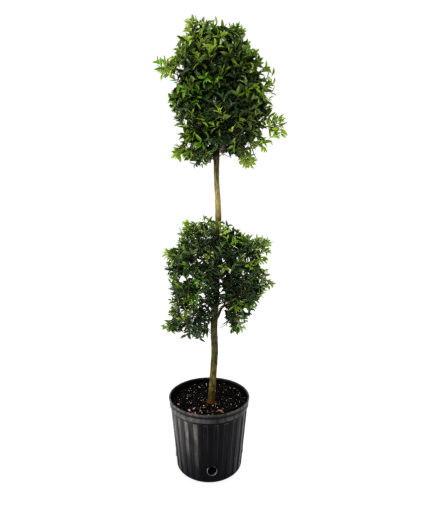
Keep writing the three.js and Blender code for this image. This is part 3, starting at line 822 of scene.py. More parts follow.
# %% The scattering tree
scatter, given, made = geometry_tree(
    "scatter on the mix",
    [
        ("Lumps", "Collection", None),
        ("Spacing", "Float", 0.004),
        ("Density", "Float", 2000.0),
        ("Smallest", "Float", 0.6),
        ("Largest", "Float", 1.5),
        ("Tilt", "Float", 0.5),
        ("Seed", "Int", 1),
        ("Material", "Material", None),
    ],
)
room = add_node(scatter, "GeometryNodeInputNamedAttribute", {"data_type": "FLOAT"}, Name="room")
dots = add_node(
    scatter,
    "GeometryNodeDistributePointsOnFaces",
    {"distribute_method": "POISSON"},
    Mesh=given.outputs["Geometry"],
    Distance_Min=given.outputs["Spacing"],
    Density_Max=given.outputs["Density"],
    Density_Factor=room.outputs["Attribute"],
    Seed=given.outputs["Seed"],
)
lumps = add_node(
    scatter,
    "GeometryNodeCollectionInfo",
    Collection=given.outputs["Lumps"],
    Separate_Children=True,
    Reset_Children=True,
)
tilt_low = add_node(scatter, "ShaderNodeMath", {"operation": "MULTIPLY"})
scatter.links.new(given.outputs["Tilt"], tilt_low.inputs[0])
tilt_low.inputs[1].default_value = -1.0
least = add_node(scatter, "ShaderNodeCombineXYZ", X=tilt_low.outputs[0], Y=tilt_low.outputs[0])
most = add_node(scatter, "ShaderNodeCombineXYZ", X=given.outputs["Tilt"], Y=given.outputs["Tilt"], Z=math.tau)
chance = given.outputs["Seed"]
turns = add_node(scatter, "FunctionNodeRandomValue", {"data_type": "FLOAT_VECTOR"}, Seed=chance)
scatter.links.new(least.outputs[0], turns.inputs[0])
scatter.links.new(most.outputs[0], turns.inputs[1])
sizes = add_node(scatter, "FunctionNodeRandomValue", {"data_type": "FLOAT"}, Seed=chance)
scatter.links.new(given.outputs["Smallest"], sizes.inputs[2])
scatter.links.new(given.outputs["Largest"], sizes.inputs[3])
copies = add_node(
    scatter,
    "GeometryNodeInstanceOnPoints",
    Points=dots.outputs["Points"],
    Instance=lumps.outputs[0],
    Pick_Instance=True,
    Rotation=turns.outputs[0],
    Scale=sizes.outputs[1],
)
real = add_node(scatter, "GeometryNodeRealizeInstances", Geometry=copies.outputs[0])
paint = given.outputs["Material"]
painted = add_node(scatter, "GeometryNodeSetMaterial", Geometry=real.outputs[0], Material=paint)
scatter.links.new(painted.outputs[0], made.inputs[0])
print("nodes in the scattering tree:", len(scatter.nodes))


# %% Where lumps may lie
ground = {"above": 217, "within": 127, "off_stem": 16}
# The patch of fresh flakes in front of the stem: its share of flakes, how it fills
# towards the front, and its middle, half width and soft edge from left to right.
patch = {"least": 0.03, "most": 0.97, "from": 12, "over": 40, "middle": -4, "half": 72, "fade": 45}


def open_ground(name, weigh):
    """A copy of the mix with the share of lumps that each point may hold."""
    mesh = mix_mesh.copy()
    share = mesh.attributes.new("room", "FLOAT", "POINT")
    values = []
    for vertex in mesh.vertices:
        x, y, z = vertex.co / MM
        off_stem = math.hypot(x - seat.x, y - seat.y) > ground["off_stem"]
        free = z > ground["above"] and math.hypot(x, y) < ground["within"] and off_stem
        values.append(weigh(x, y) if free else 0.0)
    share.data.foreach_set("value", values)
    return new_object(name, mesh)


def everywhere(x, y):
    """No place is better than another."""
    return 1.0


def near_the_front(x, y):
    """Most of the fresh flakes lie in front of the stem."""
    forwards = float(ease((-y - patch["from"]) / patch["over"]))
    inwards = float(ease((patch["half"] - abs(x - patch["middle"])) / patch["fade"]))
    return patch["least"] + patch["most"] * forwards * inwards


# %% Finishes of the lumps
flake_dark = Finish("bark_flakes", Roughness=0.9, Specular_IOR_Level=0.08)
shade = flake_dark.noise(75.0, 2.0, 0.5)
flake_dark.colour(
    flake_dark.ramp(
        shade,
        (0.40, (0.0010, 0.0009, 0.0008)),
        (0.60, (0.0065, 0.0046, 0.0034)),
        (0.76, (0.045, 0.030, 0.020)),
    )
)
flake_dark.bump(flake_dark.noise(900.0, 3.0, 0.6), 0.5)

flake_fresh = Finish("fresh_flakes", Roughness=0.85, Specular_IOR_Level=0.15)
shade = flake_fresh.noise(90.0, 2.0, 0.5)
flake_fresh.colour(
    flake_fresh.ramp(
        shade, (0.36, (0.030, 0.012, 0.008)), (0.50, (0.125, 0.058, 0.038)), (0.66, (0.40, 0.26, 0.18))
    )
)
flake_fresh.bump(flake_fresh.noise(800.0, 3.0, 0.6, flake_fresh.stretch(1, 4, 1)), 0.5)

perlite = Finish("perlite", Roughness=0.8, Specular_IOR_Level=0.3)
perlite.colour(
    perlite.ramp(perlite.noise(500.0, 2.0, 0.5), (0.3, (0.34, 0.31, 0.26)), (0.55, (0.80, 0.77, 0.70)))
)
perlite.bump(perlite.noise(1500.0, 2.0, 0.5), 0.3)

shreds = Finish("root_shreds", Roughness=0.8, Specular_IOR_Level=0.1)
shade = shreds.noise(200.0, 2.0, 0.5)
shreds.colour(shreds.ramp(shade, (0.35, (0.045, 0.035, 0.022)), (0.6, (0.20, 0.16, 0.10))))

# %% Scatter the four kinds
# Forms: half sizes in millimetres, and the stream of each.
flake_forms = [((7, 4, 1.6), 31), ((5, 3.4, 1.4), 32), ((8, 2.8, 1.5), 33), ((4, 3, 2), 34)]
fresh_forms = [((9, 5.2, 3.0), 41), ((7, 4.4, 2.6), 42), ((11, 4.4, 2.8), 43), ((5, 4, 2.4), 44)]
grain_forms = [((1.6, 1.4, 1.2), 51), ((2.0, 1.5, 1.3), 52)]
shred_forms = [((13, 0.5, 0.5), 61), ((9, 0.6, 0.5), 62)]
# Name, forms, roughness, spacing, density, smallest, largest, tilt, seed, where, finish.
kinds = [
    ("bark_flakes", flake_forms, 0.9, 0.0052, 45000.0, 0.55, 1.25, 0.55, 3, everywhere, flake_dark),
    ("fresh_flakes", fresh_forms, 1.0, 0.013, 5200.0, 0.5, 1.4, 0.7, 4, near_the_front, flake_fresh),
    ("perlite", grain_forms, 0.5, 0.0050, 4800.0, 0.3, 1.2, 0.6, 5, everywhere, perlite),
    ("root_shreds", shred_forms, 0.3, 0.016, 1300.0, 0.5, 1.2, 0.3, 6, everywhere, shreds),
]
for name, forms, rough, spacing, density, small, large, tilt, seed, weigh, finish in kinds:
    templates = [lump(name + str(i), size, stream, rough) for i, (size, stream) in enumerate(forms)]
    values = {
        "Lumps": collection_of(name, templates),
        "Spacing": spacing,
        "Density": density,
        "Smallest": small,
        "Largest": large,
        "Tilt": tilt,
        "Seed": seed,
        "Material": finish.material,
    }
    piece = run_tree(name, open_ground("ground", weigh), scatter, values)
    finish_piece(piece, "bark_mix")
    for template in templates:
        bpy.data.objects.remove(template)

# %% [markdown]
# The stem
#
# One stem runs from the mix to the heart of the upper ball. It was trained straight, so
# it only leans and wavers a little. Its bark is smooth with fine upright grain, low
# swellings where pairs of twigs were rubbed off, and a small flare at the foot. A sweep
# of dense rings takes all of that as real relief, so it also shows in the outline.

# %% Stations of the stem
# Height, middle from left to right and from front to back, and radius.
stem_stations = np.array(
    [
        (231.3, 6, -8, 14.2),
        (237, 6.7, -8, 12.4),
        (250, 8, -7.6, 11.8),
        (279, 10.5, -6.5, 11.7),
        (320, 13.4, -4.5, 11.1),
        (362, 16.4, -2.5, 10.8),
        (409, 19.1, -0.5, 11.0),
        (444, 18.3, 0.5, 11.1),
        (483, 16.2, 1, 10.8),
        (532, 18.4, 0, 10.5),
        (585, 22.3, -1.5, 10),
        (661, 25.4, -3, 9.6),
        (740, 28.4, -3, 9.4),
        (820, 30, -1.5, 9.1),
        (903, 30, 0, 9.2),
        (943, 28, 0.8, 8.3),
        (982, 25.2, 1.2, 7.9),
        (1025, 24.2, 1, 8.0),
        (1062, 24.6, 0.5, 8.9),
        (1110, 27, 0, 7.2),
        (1170, 31, 1, 5.8),
        (1236, 34, 2, 4.4),
    ]
)
stem_foot = stem_stations[0, 0]
stem_top = stem_stations[-1, 0]


def stem_at(z):
    """Centre and radius of the stem at a height: a soft curve through the stations."""
    heights = stem_stations[:, 0]
    slopes = np.gradient(stem_stations[:, 1:], heights, axis=0)
    k = int(np.clip(np.searchsorted(heights, z) - 1, 0, len(heights) - 2))
    span = heights[k + 1] - heights[k]
    t = float(np.clip((z - heights[k]) / span, 0, 1))
    a, b = stem_stations[k, 1:], stem_stations[k + 1, 1:]
    first = a * (2 * t**3 - 3 * t**2 + 1) + b * (3 * t**2 - 2 * t**3)
    second = slopes[k] * (t**3 - 2 * t**2 + t) + slopes[k + 1] * (t**3 - t**2)
    x, y, r = first + second * span
    return float(x), float(y), float(r)


print("stem at mid height:", [round(v, 1) for v in stem_at(700)])

# %% Bark relief
stem_sides = 48
ring_gap = 2.4
node_spacing = 46
node_height = 5.0
bark_depth = 0.5
relief = {"grain": 0.30, "waver": 0.55, "pit": 0.35, "swelling": 0.75, "flare": 1.6, "flare_height": 16}


def stem_relief(z, a, r):
    """How far the bark stands out from the plain round stem at a height and angle."""
    grain = noise.noise(Vector((math.cos(a) * 5.2, math.sin(a) * 5.2, z * 0.035))) * relief["grain"]
    waver = noise.noise(Vector((math.cos(a) * 1.6, math.sin(a) * 1.6, z * 0.018))) * relief["waver"]
    pitted = noise.noise(Vector((math.cos(a) * 3.1, math.sin(a) * 3.1, z * 0.12))) - 0.25
    pits = -relief["pit"] * max(0.0, pitted)
    step = round(z / node_spacing)
    height_off = (z - step * node_spacing) / node_height
    facing = abs(math.cos(a - step * math.pi / 2))
    swelling = relief["swelling"] * math.exp(-height_off * height_off) * (0.35 + 0.65 * facing**4)
    low = max(0.0, 1 - (z - stem_foot) / relief["flare_height"])
    flare = relief["flare"] * low**2 * (0.5 + 0.5 * math.cos(5 * a + 0.8))
    return bark_depth + (grain + waver + pits + swelling) * (r / 10) + flare


rings = []
for z in np.arange(stem_foot, stem_top, ring_gap).tolist() + [stem_top]:
    x, y, r = stem_at(z)
    ring = []
    for k in range(stem_sides):
        a = math.tau * k / stem_sides
        out = r + stem_relief(z, a, r)
        ring.append((x + out * math.cos(a), y + out * math.sin(a), z))
    rings.append(ring)
foot_point = (*stem_stations[0, 1:3], stem_foot)
top_point = (*stem_stations[-1, 1:3], stem_top)
bark_mesh = ring_mesh("stem_bark", np.array(rings), foot_point, top_point)
print("rings in the stem:", len(rings))

# %% [markdown]
# Bark colours
#
# The bark changes with height: rust-brown where it leaves the mix, olive and tan below
# the first ball, and a light straw colour on the bare length between the balls where the
# sun reaches it. Inside the leaves it is painted nearly black, as painted shade where the
# balls shade it. A ramp over the height carries that, and two noises stretched upwards
# break it into streaks and stains.

# %% Bark materials
# Height and colour. From about 520 to 800, and from about 1040 up, the colour darkens to
# nearly black: painted shade inside the two balls, where the leaves shade the stem.
stem_colour_and_shade_bands = [
    (231, (0.110, 0.034, 0.010)),
    (241, (0.100, 0.052, 0.018)),
    (253, (0.084, 0.068, 0.022)),
    (270, (0.090, 0.078, 0.028)),
    (283, (0.118, 0.086, 0.036)),
    (306, (0.122, 0.098, 0.040)),
    (350, (0.100, 0.084, 0.035)),
    (385, (0.068, 0.062, 0.026)),
    (454, (0.075, 0.070, 0.038)),
    (520, (0.050, 0.044, 0.025)),
    (570, (0.034, 0.030, 0.018)),
    (600, (0.009, 0.009, 0.006)),
    (690, (0.008, 0.008, 0.006)),
    (800, (0.060, 0.050, 0.028)),
    (862, (0.170, 0.145, 0.055)),
    (890, (0.225, 0.195, 0.090)),
    (940, (0.225, 0.188, 0.088)),
    (975, (0.172, 0.148, 0.078)),
    (1010, (0.122, 0.106, 0.060)),
    (1045, (0.080, 0.060, 0.040)),
    (1060, (0.066, 0.046, 0.034)),
    (1070, (0.026, 0.020, 0.015)),
]


def bark_finish(name, bands, tint):
    """Bark with a colour for each height and flecks of a paler tint."""
    finish = Finish(name, Roughness=0.9, Specular_IOR_Level=0.0)
    split = add_node(finish.tree, "ShaderNodeSeparateXYZ", Vector=finish.place)
    low, high = bands[0][0] * MM, bands[-1][0] * MM
    level = add_node(finish.tree, "ShaderNodeMapRange", Value=split.outputs["Z"])
    level.inputs["From Min"].default_value = low
    level.inputs["From Max"].default_value = high
    stops = [((z * MM - low) / (high - low), colour) for z, colour in bands]
    base = finish.ramp(level.outputs[0], *stops)
    upright = finish.noise(170.0, 5.0, 0.65, finish.stretch(1, 1, 0.30))
    stains = finish.noise(60.0, 4.0, 0.65, finish.stretch(1, 1, 0.6))
    flecks = finish.noise(330.0, 2.0, 0.5)
    streaked = finish.ramp(upright, (0.32, 0.50), (0.50, 1.0), (0.70, 1.5))
    darker = finish.blend(1.0, base, streaked, "MULTIPLY")
    clouded = finish.ramp(stains, (0.34, 0.45), (0.5, 1.0), (0.68, 1.35))
    stained = finish.blend(1.0, darker, clouded, "MULTIPLY")
    pale = finish.ramp(flecks, (0.60, 0.0), (0.72, 0.55))
    finish.colour(finish.blend(pale, stained, tint))
    finish.rough(finish.ramp(stains, (0.3, 0.7), (0.7, 0.9)))
    finish.bump(upright, 0.8, 0.9)
    return finish.material


stem_paint = bark_finish("stem_bark", stem_colour_and_shade_bands, (0.26, 0.22, 0.13, 1))
stem_piece = new_object("stem_bark", bark_mesh, stem_paint)
finish_piece(stem_piece, "trunk_bark", "trunk")

# %% [markdown]
# The rule of growth
#
# The leaves of each ball hang on eight boughs. A ball is a list of levels, each with
# the middle and radius of its leaf tips, and tiers of masses: a mass is one bough's
# worth of foliage, and its heart is the point that its twigs fan out from. These are
# the numbers of the solid model, so that everything grown here stays in its reach.

# %% The two balls
# Outline: height, middle and radius of each level. Bare: the cone round the stem under a
# ball. Slot: the strip in front of the stem where its bark shows. Sprays: how many main
# twigs it has, besides those of its strays. Youth: how much of the ball is new growth.
# Tiers: how many masses, the azimuth of the first, their level as a share of the ball,
# and between which heights their boughs leave the stem.
ball_plans = {
    "lower": {
        "outline": [
            (472, -18, 56),
            (484, -18, 110),
            (505, -16, 132),
            (535, -6, 139),
            (562, 8, 146),
            (600, 18, 151),
            (635, 29, 160),
            (668, 30, 163),
            (705, 24, 168),
            (748, 28, 169),
            (776, 35, 155),
            (800, 31, 130),
            (823, 14, 106),
            (846, 4, 82),
            (864, 4, 44),
            (874, 4, 18),
        ],
        "seed": 12,
        "bare": {"right": 29, "radius": 49, "depth": 58},
        "slot": {"sides": (-17, -3, 6), "tops": (505, 662), "slope": 0.24},
        "sprays": 51,
        "youth": -0.10,
        "tiers": [(4, 35, -0.42, 516, 572), (4, 80, 0.44, 612, 668)],
    },
    "upper": {
        "outline": [
            (1034, 24, 56),
            (1048, 24, 102),
            (1072, 22, 117),
            (1102, 27, 121),
            (1128, 38, 135),
            (1156, 45, 149),
            (1188, 45, 158),
            (1222, 38, 167),
            (1262, 38, 169),
            (1300, 34, 164),
            (1330, 29, 158),
            (1354, 23, 145),
            (1380, 19, 122),
            (1408, 14, 112),
            (1432, 12, 95),
            (1450, 7, 78),
            (1463, -4, 52),
            (1471, -14, 20),
        ],
        "seed": 13,
        "bare": {"right": 10, "radius": 42, "depth": 42},
        "slot": {"sides": (-11, 3, 24), "tops": (1084, 1092), "slope": -0.14},
        "sprays": 50,
        "youth": 0.03,
        "tiers": [(4, 20, -0.46, 1074, 1118), (3, 90, 0.26, 1142, 1196), (1, 150, 0.7, 1236, 1236)],
    },
}
# The strays of each ball: azimuth, height, how far they stand past the outline, and how
# far their shoots hang.
strays = {
    "upper": [
        (178, 1345, 38, 26),
        (-10, 1163, 50, 48),
        (-4, 1106, 40, 10),
        (-6, 1048, 28, 14),
        (186, 1076, 20, 16),
        (178, 1462, 16, 0),
        (-24, 1432, 14, 0),
    ],
    "lower": [
        (195, 510, 18, 0),
        (4, 784, 32, 0),
        (176, 752, 18, 0),
        (-5, 642, 22, 0),
        (195, 838, 16, 0),
        (-38, 518, 16, 6),
    ],
}
mass_far, topmost_far, mass_uneven = 0.55, 0.12, 58
golden_share, golden_angle = 0.618, 137.5
farthest = 450.0


def on_circle(radius, azimuth, z=0.0):
    angle = math.radians(azimuth)
    return Vector((radius * math.cos(angle), radius * math.sin(angle), z))


def outline_at(plan, z):
    levels = np.array(plan["outline"], float)
    return float(np.interp(z, levels[:, 0], levels[:, 1])), float(np.interp(z, levels[:, 0], levels[:, 2]))


def past_outline(plan, p):
    """How far past the outline of its ball a point is; inside, this is below zero."""
    middle, radius = outline_at(plan, p.z)
    sideways = math.hypot(p.x - middle, p.y) - radius
    return max(sideways, plan["outline"][0][0] - p.z, p.z - plan["outline"][-1][0])


def to_outline(plan, start, way):
    """How far a ray from a point inside the ball runs before it meets the outline."""
    near, far = 0.0, farthest
    while far - near > 0.5:
        middle = (near + far) / 2
        if past_outline(plan, start + way * middle) > 0:
            far = middle
        else:
            near = middle
    return near


# %% Masses and their boughs
bough_sizes = {"base": 5.6, "share": 0.62, "tip": 3.1, "heart": 2.4, "collar": 0.35}
bough_sizes.update({"reach": 34, "rise": 30, "sag": 3.5, "rooted": 6})


def plan_masses(name, plan):
    """The masses of a ball: the heart of each, and where its bough leaves the stem."""
    draw = seeded(plan["seed"])
    bottom, top = plan["outline"][0][0], plan["outline"][-1][0]
    masses = []
    for count, first, share, low, high in plan["tiers"]:
        for i in range(count):
            azimuth = first + i * 360 / count
            level = (top + bottom + (top - bottom) * share) / 2
            middle, radius = outline_at(plan, level)
            topmost = count == 1
            far = radius * (topmost_far if topmost else mass_far)
            heart = on_circle(far, azimuth, level + mass_uneven * (draw() - 0.5))
            heart.x += middle
            root = low + (high - low) * ((i * golden_share) % 1)
            label = f"{name}_{len(masses) + 1}"
            masses.append({"name": label, "heart": heart, "root": root, "topmost": topmost})
    return masses


def plan_bough(mass):
    """The line of a bough from inside the stem out and up to the heart of its mass."""
    x, y, r = stem_at(mass["root"])
    start = Vector((x, y, mass["root"]))
    out = mass["heart"] - start
    sizes = bough_sizes
    if mass["topmost"]:
        end = start + out * (sizes["reach"] / out.length)
        middle = start.lerp(end, 0.5)
        base = r
        start = start - Vector((0, 0, sizes["rooted"]))
    else:
        share = sizes["reach"] / math.hypot(out.x, out.y)
        end = start + out * share
        end.z = start.z + sizes["rise"] + out.z * share / 2
        middle = start.lerp(end, 0.5) - Vector((0, 0, sizes["sag"]))
        base = min(sizes["base"], sizes["share"] * r)
    radii = [base, (base + sizes["tip"]) / 2, sizes["tip"], sizes["heart"]]
    return [start, middle, end, mass["heart"]], radii


def smooth_line(points, radii, steps):
    """Extra points on a soft curve through a few, with their radii."""
    line, thick = [], []
    count = len(points)
    for i in range(count - 1):
        a, b = points[i], points[i + 1]
        before = points[max(i - 1, 0)]
        beyond = points[min(i + 2, count - 1)]
        for k in range(steps + (i == count - 2)):
            t = k / steps
            curve = a * (2 * t**3 - 3 * t**2 + 1) + b * (3 * t**2 - 2 * t**3)
            curve += (b - before) * 0.5 * (t**3 - 2 * t**2 + t) + (beyond - a) * 0.5 * (t**3 - t**2)
            line.append(curve)
            thick.append(lerp(radii[i], radii[i + 1], t))
    return line, thick


all_masses = {name: plan_masses(name, plan) for name, plan in ball_plans.items()}
print("masses:", {name: len(masses) for name, masses in all_masses.items()})

# %% [markdown]
# The boughs
#
# Each bough leaves the stem with a thickened collar, dips a little and swings up into
# its mass, where it becomes the stem of that mass and ends at its heart. A swept tube
# with uneven rings is the direct way to make one. The lowest bough on the right of the
# upper ball has pale grey bark, which makes it stand out in the fork.

# %% Sweep a limb with relief
limb_sides = 14
limb_steps = 9
limb_stream = 7.0
# How uneven a limb is, in slow and in fine noise.
lumpy, knobbly = 0.16, 0.05


def limb_rings(line, thick, sides, swell, stream):
    """Rings square to a line, uneven like bark, with a collar at the start."""
    rings = []
    side = None
    for k, point in enumerate(line):
        along = (line[min(k + 1, len(line) - 1)] - line[max(k - 1, 0)]).normalized()
        if side is None:
            side = along.orthogonal().normalized()
        side = (side - along * side.dot(along)).normalized()
        other = along.cross(side)
        collar = 1 + swell * max(0.0, 1 - 3 * k / len(line))
        ring = []
        for i in range(sides):
            a = math.tau * i / sides
            spot = Vector((math.cos(a) * 1.4 + stream, math.sin(a) * 1.4, k * 0.33))
            grow = 1 + lumpy * noise.noise(spot) + knobbly * noise.noise(spot * 3.1)
            out = thick[k] * collar * grow
            ring.append(point + side * out * math.cos(a) + other * out * math.sin(a))
        rings.append(ring)
    return np.array(rings)


# %% The sixteen boughs
grey_bands = [(460, (0.20, 0.185, 0.15)), (1460, (0.26, 0.245, 0.205))]
brown_bands = [(460, (0.055, 0.045, 0.028)), (1460, (0.070, 0.054, 0.036))]
bough_paint = bark_finish("bough_bark", brown_bands, (0.20, 0.17, 0.12, 1))
pale_paint = bark_finish("pale_bark", grey_bands, (0.36, 0.34, 0.30, 1))
pale_bough = "upper_1"
for masses in all_masses.values():
    for number, mass in enumerate(masses):
        line, thick = smooth_line(*plan_bough(mass), limb_steps)
        swell = 0 if mass["topmost"] else bough_sizes["collar"]
        rings = limb_rings(line, thick, limb_sides, swell, limb_stream * number)
        mesh = ring_mesh("bough_bark_" + mass["name"], rings, line[0], line[-1])
        paint = pale_paint if mass["name"] == pale_bough else bough_paint
        piece = new_object("bough_bark_" + mass["name"], mesh, paint)
        finish_piece(piece, "bough_bark", "bough_" + mass["name"])

# %% [markdown]
# Twigs
#
# From the heart of a mass, main twigs run to points spread evenly over the outline, as
# in the solid model. Side twigs leave them, and leafy shoots leave both. Each new twig
# starts from the best point of the wood that is there already: near its goal, and with
# the old twig already growing its way. That keeps the forks forward-pointing, as on a
# real shrub, without having to describe any branch by hand.
#
# Leaves keep out of three kinds of space. Under each ball a bare cone stands round the
# stem. In front of the stem is a slot, which lets the bark show: it has a left side, a
# split and a right side, and it reaches to one height left of the split and to another
# right of it, at a slope towards the viewer. And the sky shows through round openings:
# no leaf lies on a line of sight through one of them.

# %% Where nothing grows
# Openings in the plane of the stem: x, z, radius.
sky = [
    (-92, 666, 10), (-63, 670, 4), (-96, 549, 6), (-66, 715, 3), (-30, 721, 6), (-43, 744, 3),
    (131, 727, 7), (95, 736, 3), (70, 691, 4), (40, 655, 4), (43, 633, 4), (48, 617, 5),
    (0, 733, 3), (61, 581, 5), (37, 568, 8), (46, 553, 11), (38, 533, 9), (41, 511, 11),
    (43, 488, 13), (62, 486, 12), (125, 555, 8), (-20, 604, 4), (-108, 769, 5), (106, 524, 4),
    (182, 705, 7), (182, 746, 6), (86, 816, 4), (71, 1038, 28), (50, 1064, 10), (-61, 1093, 5),
    (-77, 1172, 8), (-96, 1146, 9), (-82, 1336, 7), (-92, 1295, 6), (-100, 1315, 9),
    (-122, 1280, 15), (186, 1254, 10), (172, 1287, 6), (158, 1331, 7), (167, 1307, 6),
    (162, 1178, 4), (183, 1183, 5), (184, 1160, 5), (185, 1141, 4), (152, 1117, 6), (126, 1103, 8),
    (160, 1086, 7), (115, 1137, 4),
]
eye = Vector(camera.location) / MM
leaf_room = 1.0
bare_edge = 1.3
stem_room = 3.0


def in_bare_space(plan, p):
    """True in the bare cone under a ball, or in the slot at its front."""
    x, y, _ = stem_at(p.z)
    bare, slot = plan["bare"], plan["slot"]
    off = math.hypot(p.x - x - bare["right"], p.y - y)
    if p.z - plan["outline"][0][0] < bare["depth"] * (bare_edge - off / bare["radius"]):
        return True
    left, split, right = slot["sides"]
    if p.y > 0 or not left < p.x - x < right:
        return False
    top = slot["tops"][int(p.x - x > split)]
    return p.z < top - slot["slope"] * p.y


def seen_in(p, spots, room=0.0):
    """True on the line of sight through one of some round spots in the stem's plane."""
    share = -eye.y / (p.y - eye.y)
    x = eye.x + (p.x - eye.x) * share
    z = eye.z + (p.z - eye.z) * share
    return any(math.hypot(x - a, z - b) < radius + room for a, b, radius in spots)


def clear_of_stem(p):
    if p.z > stem_top + stem_room:
        return True
    x, y, r = stem_at(p.z)
    return math.hypot(p.x - x, p.y - y) > r + stem_room


# %% [markdown]
# Regrowth
#
# Between two clippings a ball grows out unevenly. Slow noise over its outline says by
# how much at each place, so that tufts stand out and notches stay behind. Long single
# shoots that the shears missed are the strays.

# %% Goals spread over a ball
broad_tufts = {"height": 24, "fine": 0.020}
small_tufts = {"height": 22, "fine": 0.055}
regrowth = {"least": 6, "flat_top": 30, "on_top": 0.35}
deepest_notch = -16
nearest_goal = 20
turn_chance = 9


def tuft(p):
    """How far the leaves at a place stand past the clipped outline, in millimetres."""
    broad = broad_tufts["height"] * noise.noise(p * broad_tufts["fine"])
    return broad + small_tufts["height"] * noise.noise(p * small_tufts["fine"] + Vector((5, 0, 0)))


def allowance(plan, p):
    """How far past the outline a leaf may reach: little on top, which is cut flat."""
    shoulder = plan["outline"][-1][0] - regrowth["flat_top"]
    return regrowth["least"] + max(tuft(p), 0) * (regrowth["on_top"] if p.z > shoulder else 1.0)


def ball_middle(plan):
    level = (plan["outline"][0][0] + plan["outline"][-1][0]) / 2
    return Vector((outline_at(plan, level)[0], 0, level))


def spread(plan, count, stream, shallow, deep):
    """Points spread over a ball by the golden angle, each some way inside its outline."""
    draw = seeded(stream)
    middle = ball_middle(plan)
    goals = []
    for i in range(count):
        height = 1 - 2 * (i + 0.5) / count
        azimuth = i * golden_angle + turn_chance * (draw() - 0.5)
        way = on_circle(math.sqrt(1 - height * height), azimuth, height)
        far = to_outline(plan, middle, way)
        out = max(tuft(middle + way * far), deepest_notch)
        goals.append(middle + way * max(far + out - lerp(shallow, deep, draw()), nearest_goal))
    return goals


def stray_tips(name, plan):
    """The points where the strays of a ball end."""
    tips = []
    for azimuth, z, past, _ in strays[name]:
        middle, radius = outline_at(plan, z)
        tips.append(on_circle(radius + past, azimuth, z) + Vector((middle, 0, 0)))
    return tips


# %% The wood that grows
# How a joint is judged, in millimetres: what growing the right way is worth, what
# starting too near costs, and how many times each millimetre too far counts.
forward_worth, too_near, too_far = 32, 400, 3
# How much a twig follows the old wood at its start, and how far it wobbles by its length.
leave_forwards = 0.8
wobble = 0.035


def any_way(draw):
    """A vector by chance, each part from -0.5 to 0.5."""
    return Vector((draw() - 0.5, draw() - 0.5, draw() - 0.5))


class Wood:
    """Every twig of one mass, and the points along them that new twigs may leave."""

    def __init__(self, mass):
        self.mass = mass
        self.lines = []
        self.places = [mass["heart"]]
        self.ways = [Vector((0, 0, 1))]

    def add(self, line, thick):
        self.lines.append((line, thick))
        for k in range(1, len(line) - 1):
            self.places.append(line[k])
            self.ways.append((line[k + 1] - line[k - 1]).normalized())

    def joint(self, goal, least, most):
        """The point to leave from for a goal, and the way the wood grows there."""
        places = np.array(self.places)
        towards = np.array(goal) - places
        far = np.linalg.norm(towards, axis=1)
        lean = (towards * np.array(self.ways)).sum(1) / np.maximum(far, 1e-6)
        cost = far - forward_worth * lean + too_near * (far < least) + too_far * np.maximum(far - most, 0)
        best = int(np.argmin(cost))
        return self.places[best], self.ways[best]


def twig_line(start, way, goal, end_way, steps, draw):
    """A line that leaves the wood forwards and ends at its goal in a given direction."""
    gap = goal - start
    leave = (way * leave_forwards + gap.normalized()).normalized() * gap.length
    arrive = end_way.normalized() * gap.length
    line = []
    for k in range(steps + 1):
        t = k / steps
        point = start * (2 * t**3 - 3 * t**2 + 1) + goal * (3 * t**2 - 2 * t**3)
        point += leave * (t**3 - 2 * t**2 + t) + arrive * (t**3 - t**2)
        if 0 < k < steps:
            point += any_way(draw) * gap.length * wobble
        line.append(point)
    return line


def tapered(count, base, tip):
    """The thickness of a twig at each of its points."""
    return [lerp(base, tip, k / (count - 1)) for k in range(count)]


def nearest(woods, goal):
    return min(woods, key=lambda wood: (wood.mass["heart"] - goal).length)


# %% Layers of leafy shoots
# How deep the tips of a layer lie, from and to, and how many shoots it has in each ball.
layers = {
    "outer": {"depth": (6, 26), "lower": 325, "upper": 360},
    "middle": {"depth": (26, 52), "lower": 190, "upper": 370},
    "heart": {"depth": (54, 112), "lower": 62, "upper": 250},
}
up = Vector((0, 0, 1))
# How many side twigs a ball has, and the streams of main, side and leafy twigs. Then how
# deep the tips lie, the steps of a line, its thickness from base to tip, how much it
# rises at its end, and how near and far from its goal it may leave the wood.
side_count = 210
streams = {"main": 1, "side": 2, "leafy": 3}
main_twigs = {"depth": (14, 20), "steps": 8, "thick": (2.1, 0.8), "rise": 0.25}
side_twigs = {"depth": (22, 42), "steps": 6, "thick": (1.25, 0.7), "rise": 0.3, "off": (40, 90)}
leafy_twigs = {"steps": 7, "thick": (0.75, 0.38), "off": (30, 70)}
# The shoots at the end of a stray: how many, how far back they sit, and how they spread.
stray = {"shoots": 6, "first": 14, "gap": 6, "near": 5, "wide": 9, "high": 20, "fall": 1.1}


def shoot_way(plan, goal, gap, place, draw):
    """Outer shoots end pointing out of the ball and up, inner ones follow their twig."""
    out = (goal - ball_middle(plan)).normalized()
    chance = any_way(draw)
    if place == "outer":
        return out * 0.85 + up * 0.62 + gap * 0.35 + chance * 0.7
    return gap + up * 0.5 + chance * 0.8


def stray_shoots(tip, middle, hang, draw):
    """Goals and ways of the leafy shoots at the end of a stray twig, some hanging down."""
    out = tip - middle
    out.z = 0
    out.normalize()
    found = []
    for k in range(stray["shoots"]):
        back = stray["first"] + stray["gap"] * k
        aside = stray["near"] + stray["wide"] * draw()
        off = on_circle(aside, 360 * draw(), stray["high"] * (draw() - 0.5) - hang * (k % 4) / 3)
        fall = stray["fall"] * (hang > 0) * (k % 4 > 0)
        way = out * 0.8 + up * (0.4 - fall) + any_way(draw)
        found.append((tip - out * back + off, way))
    return found


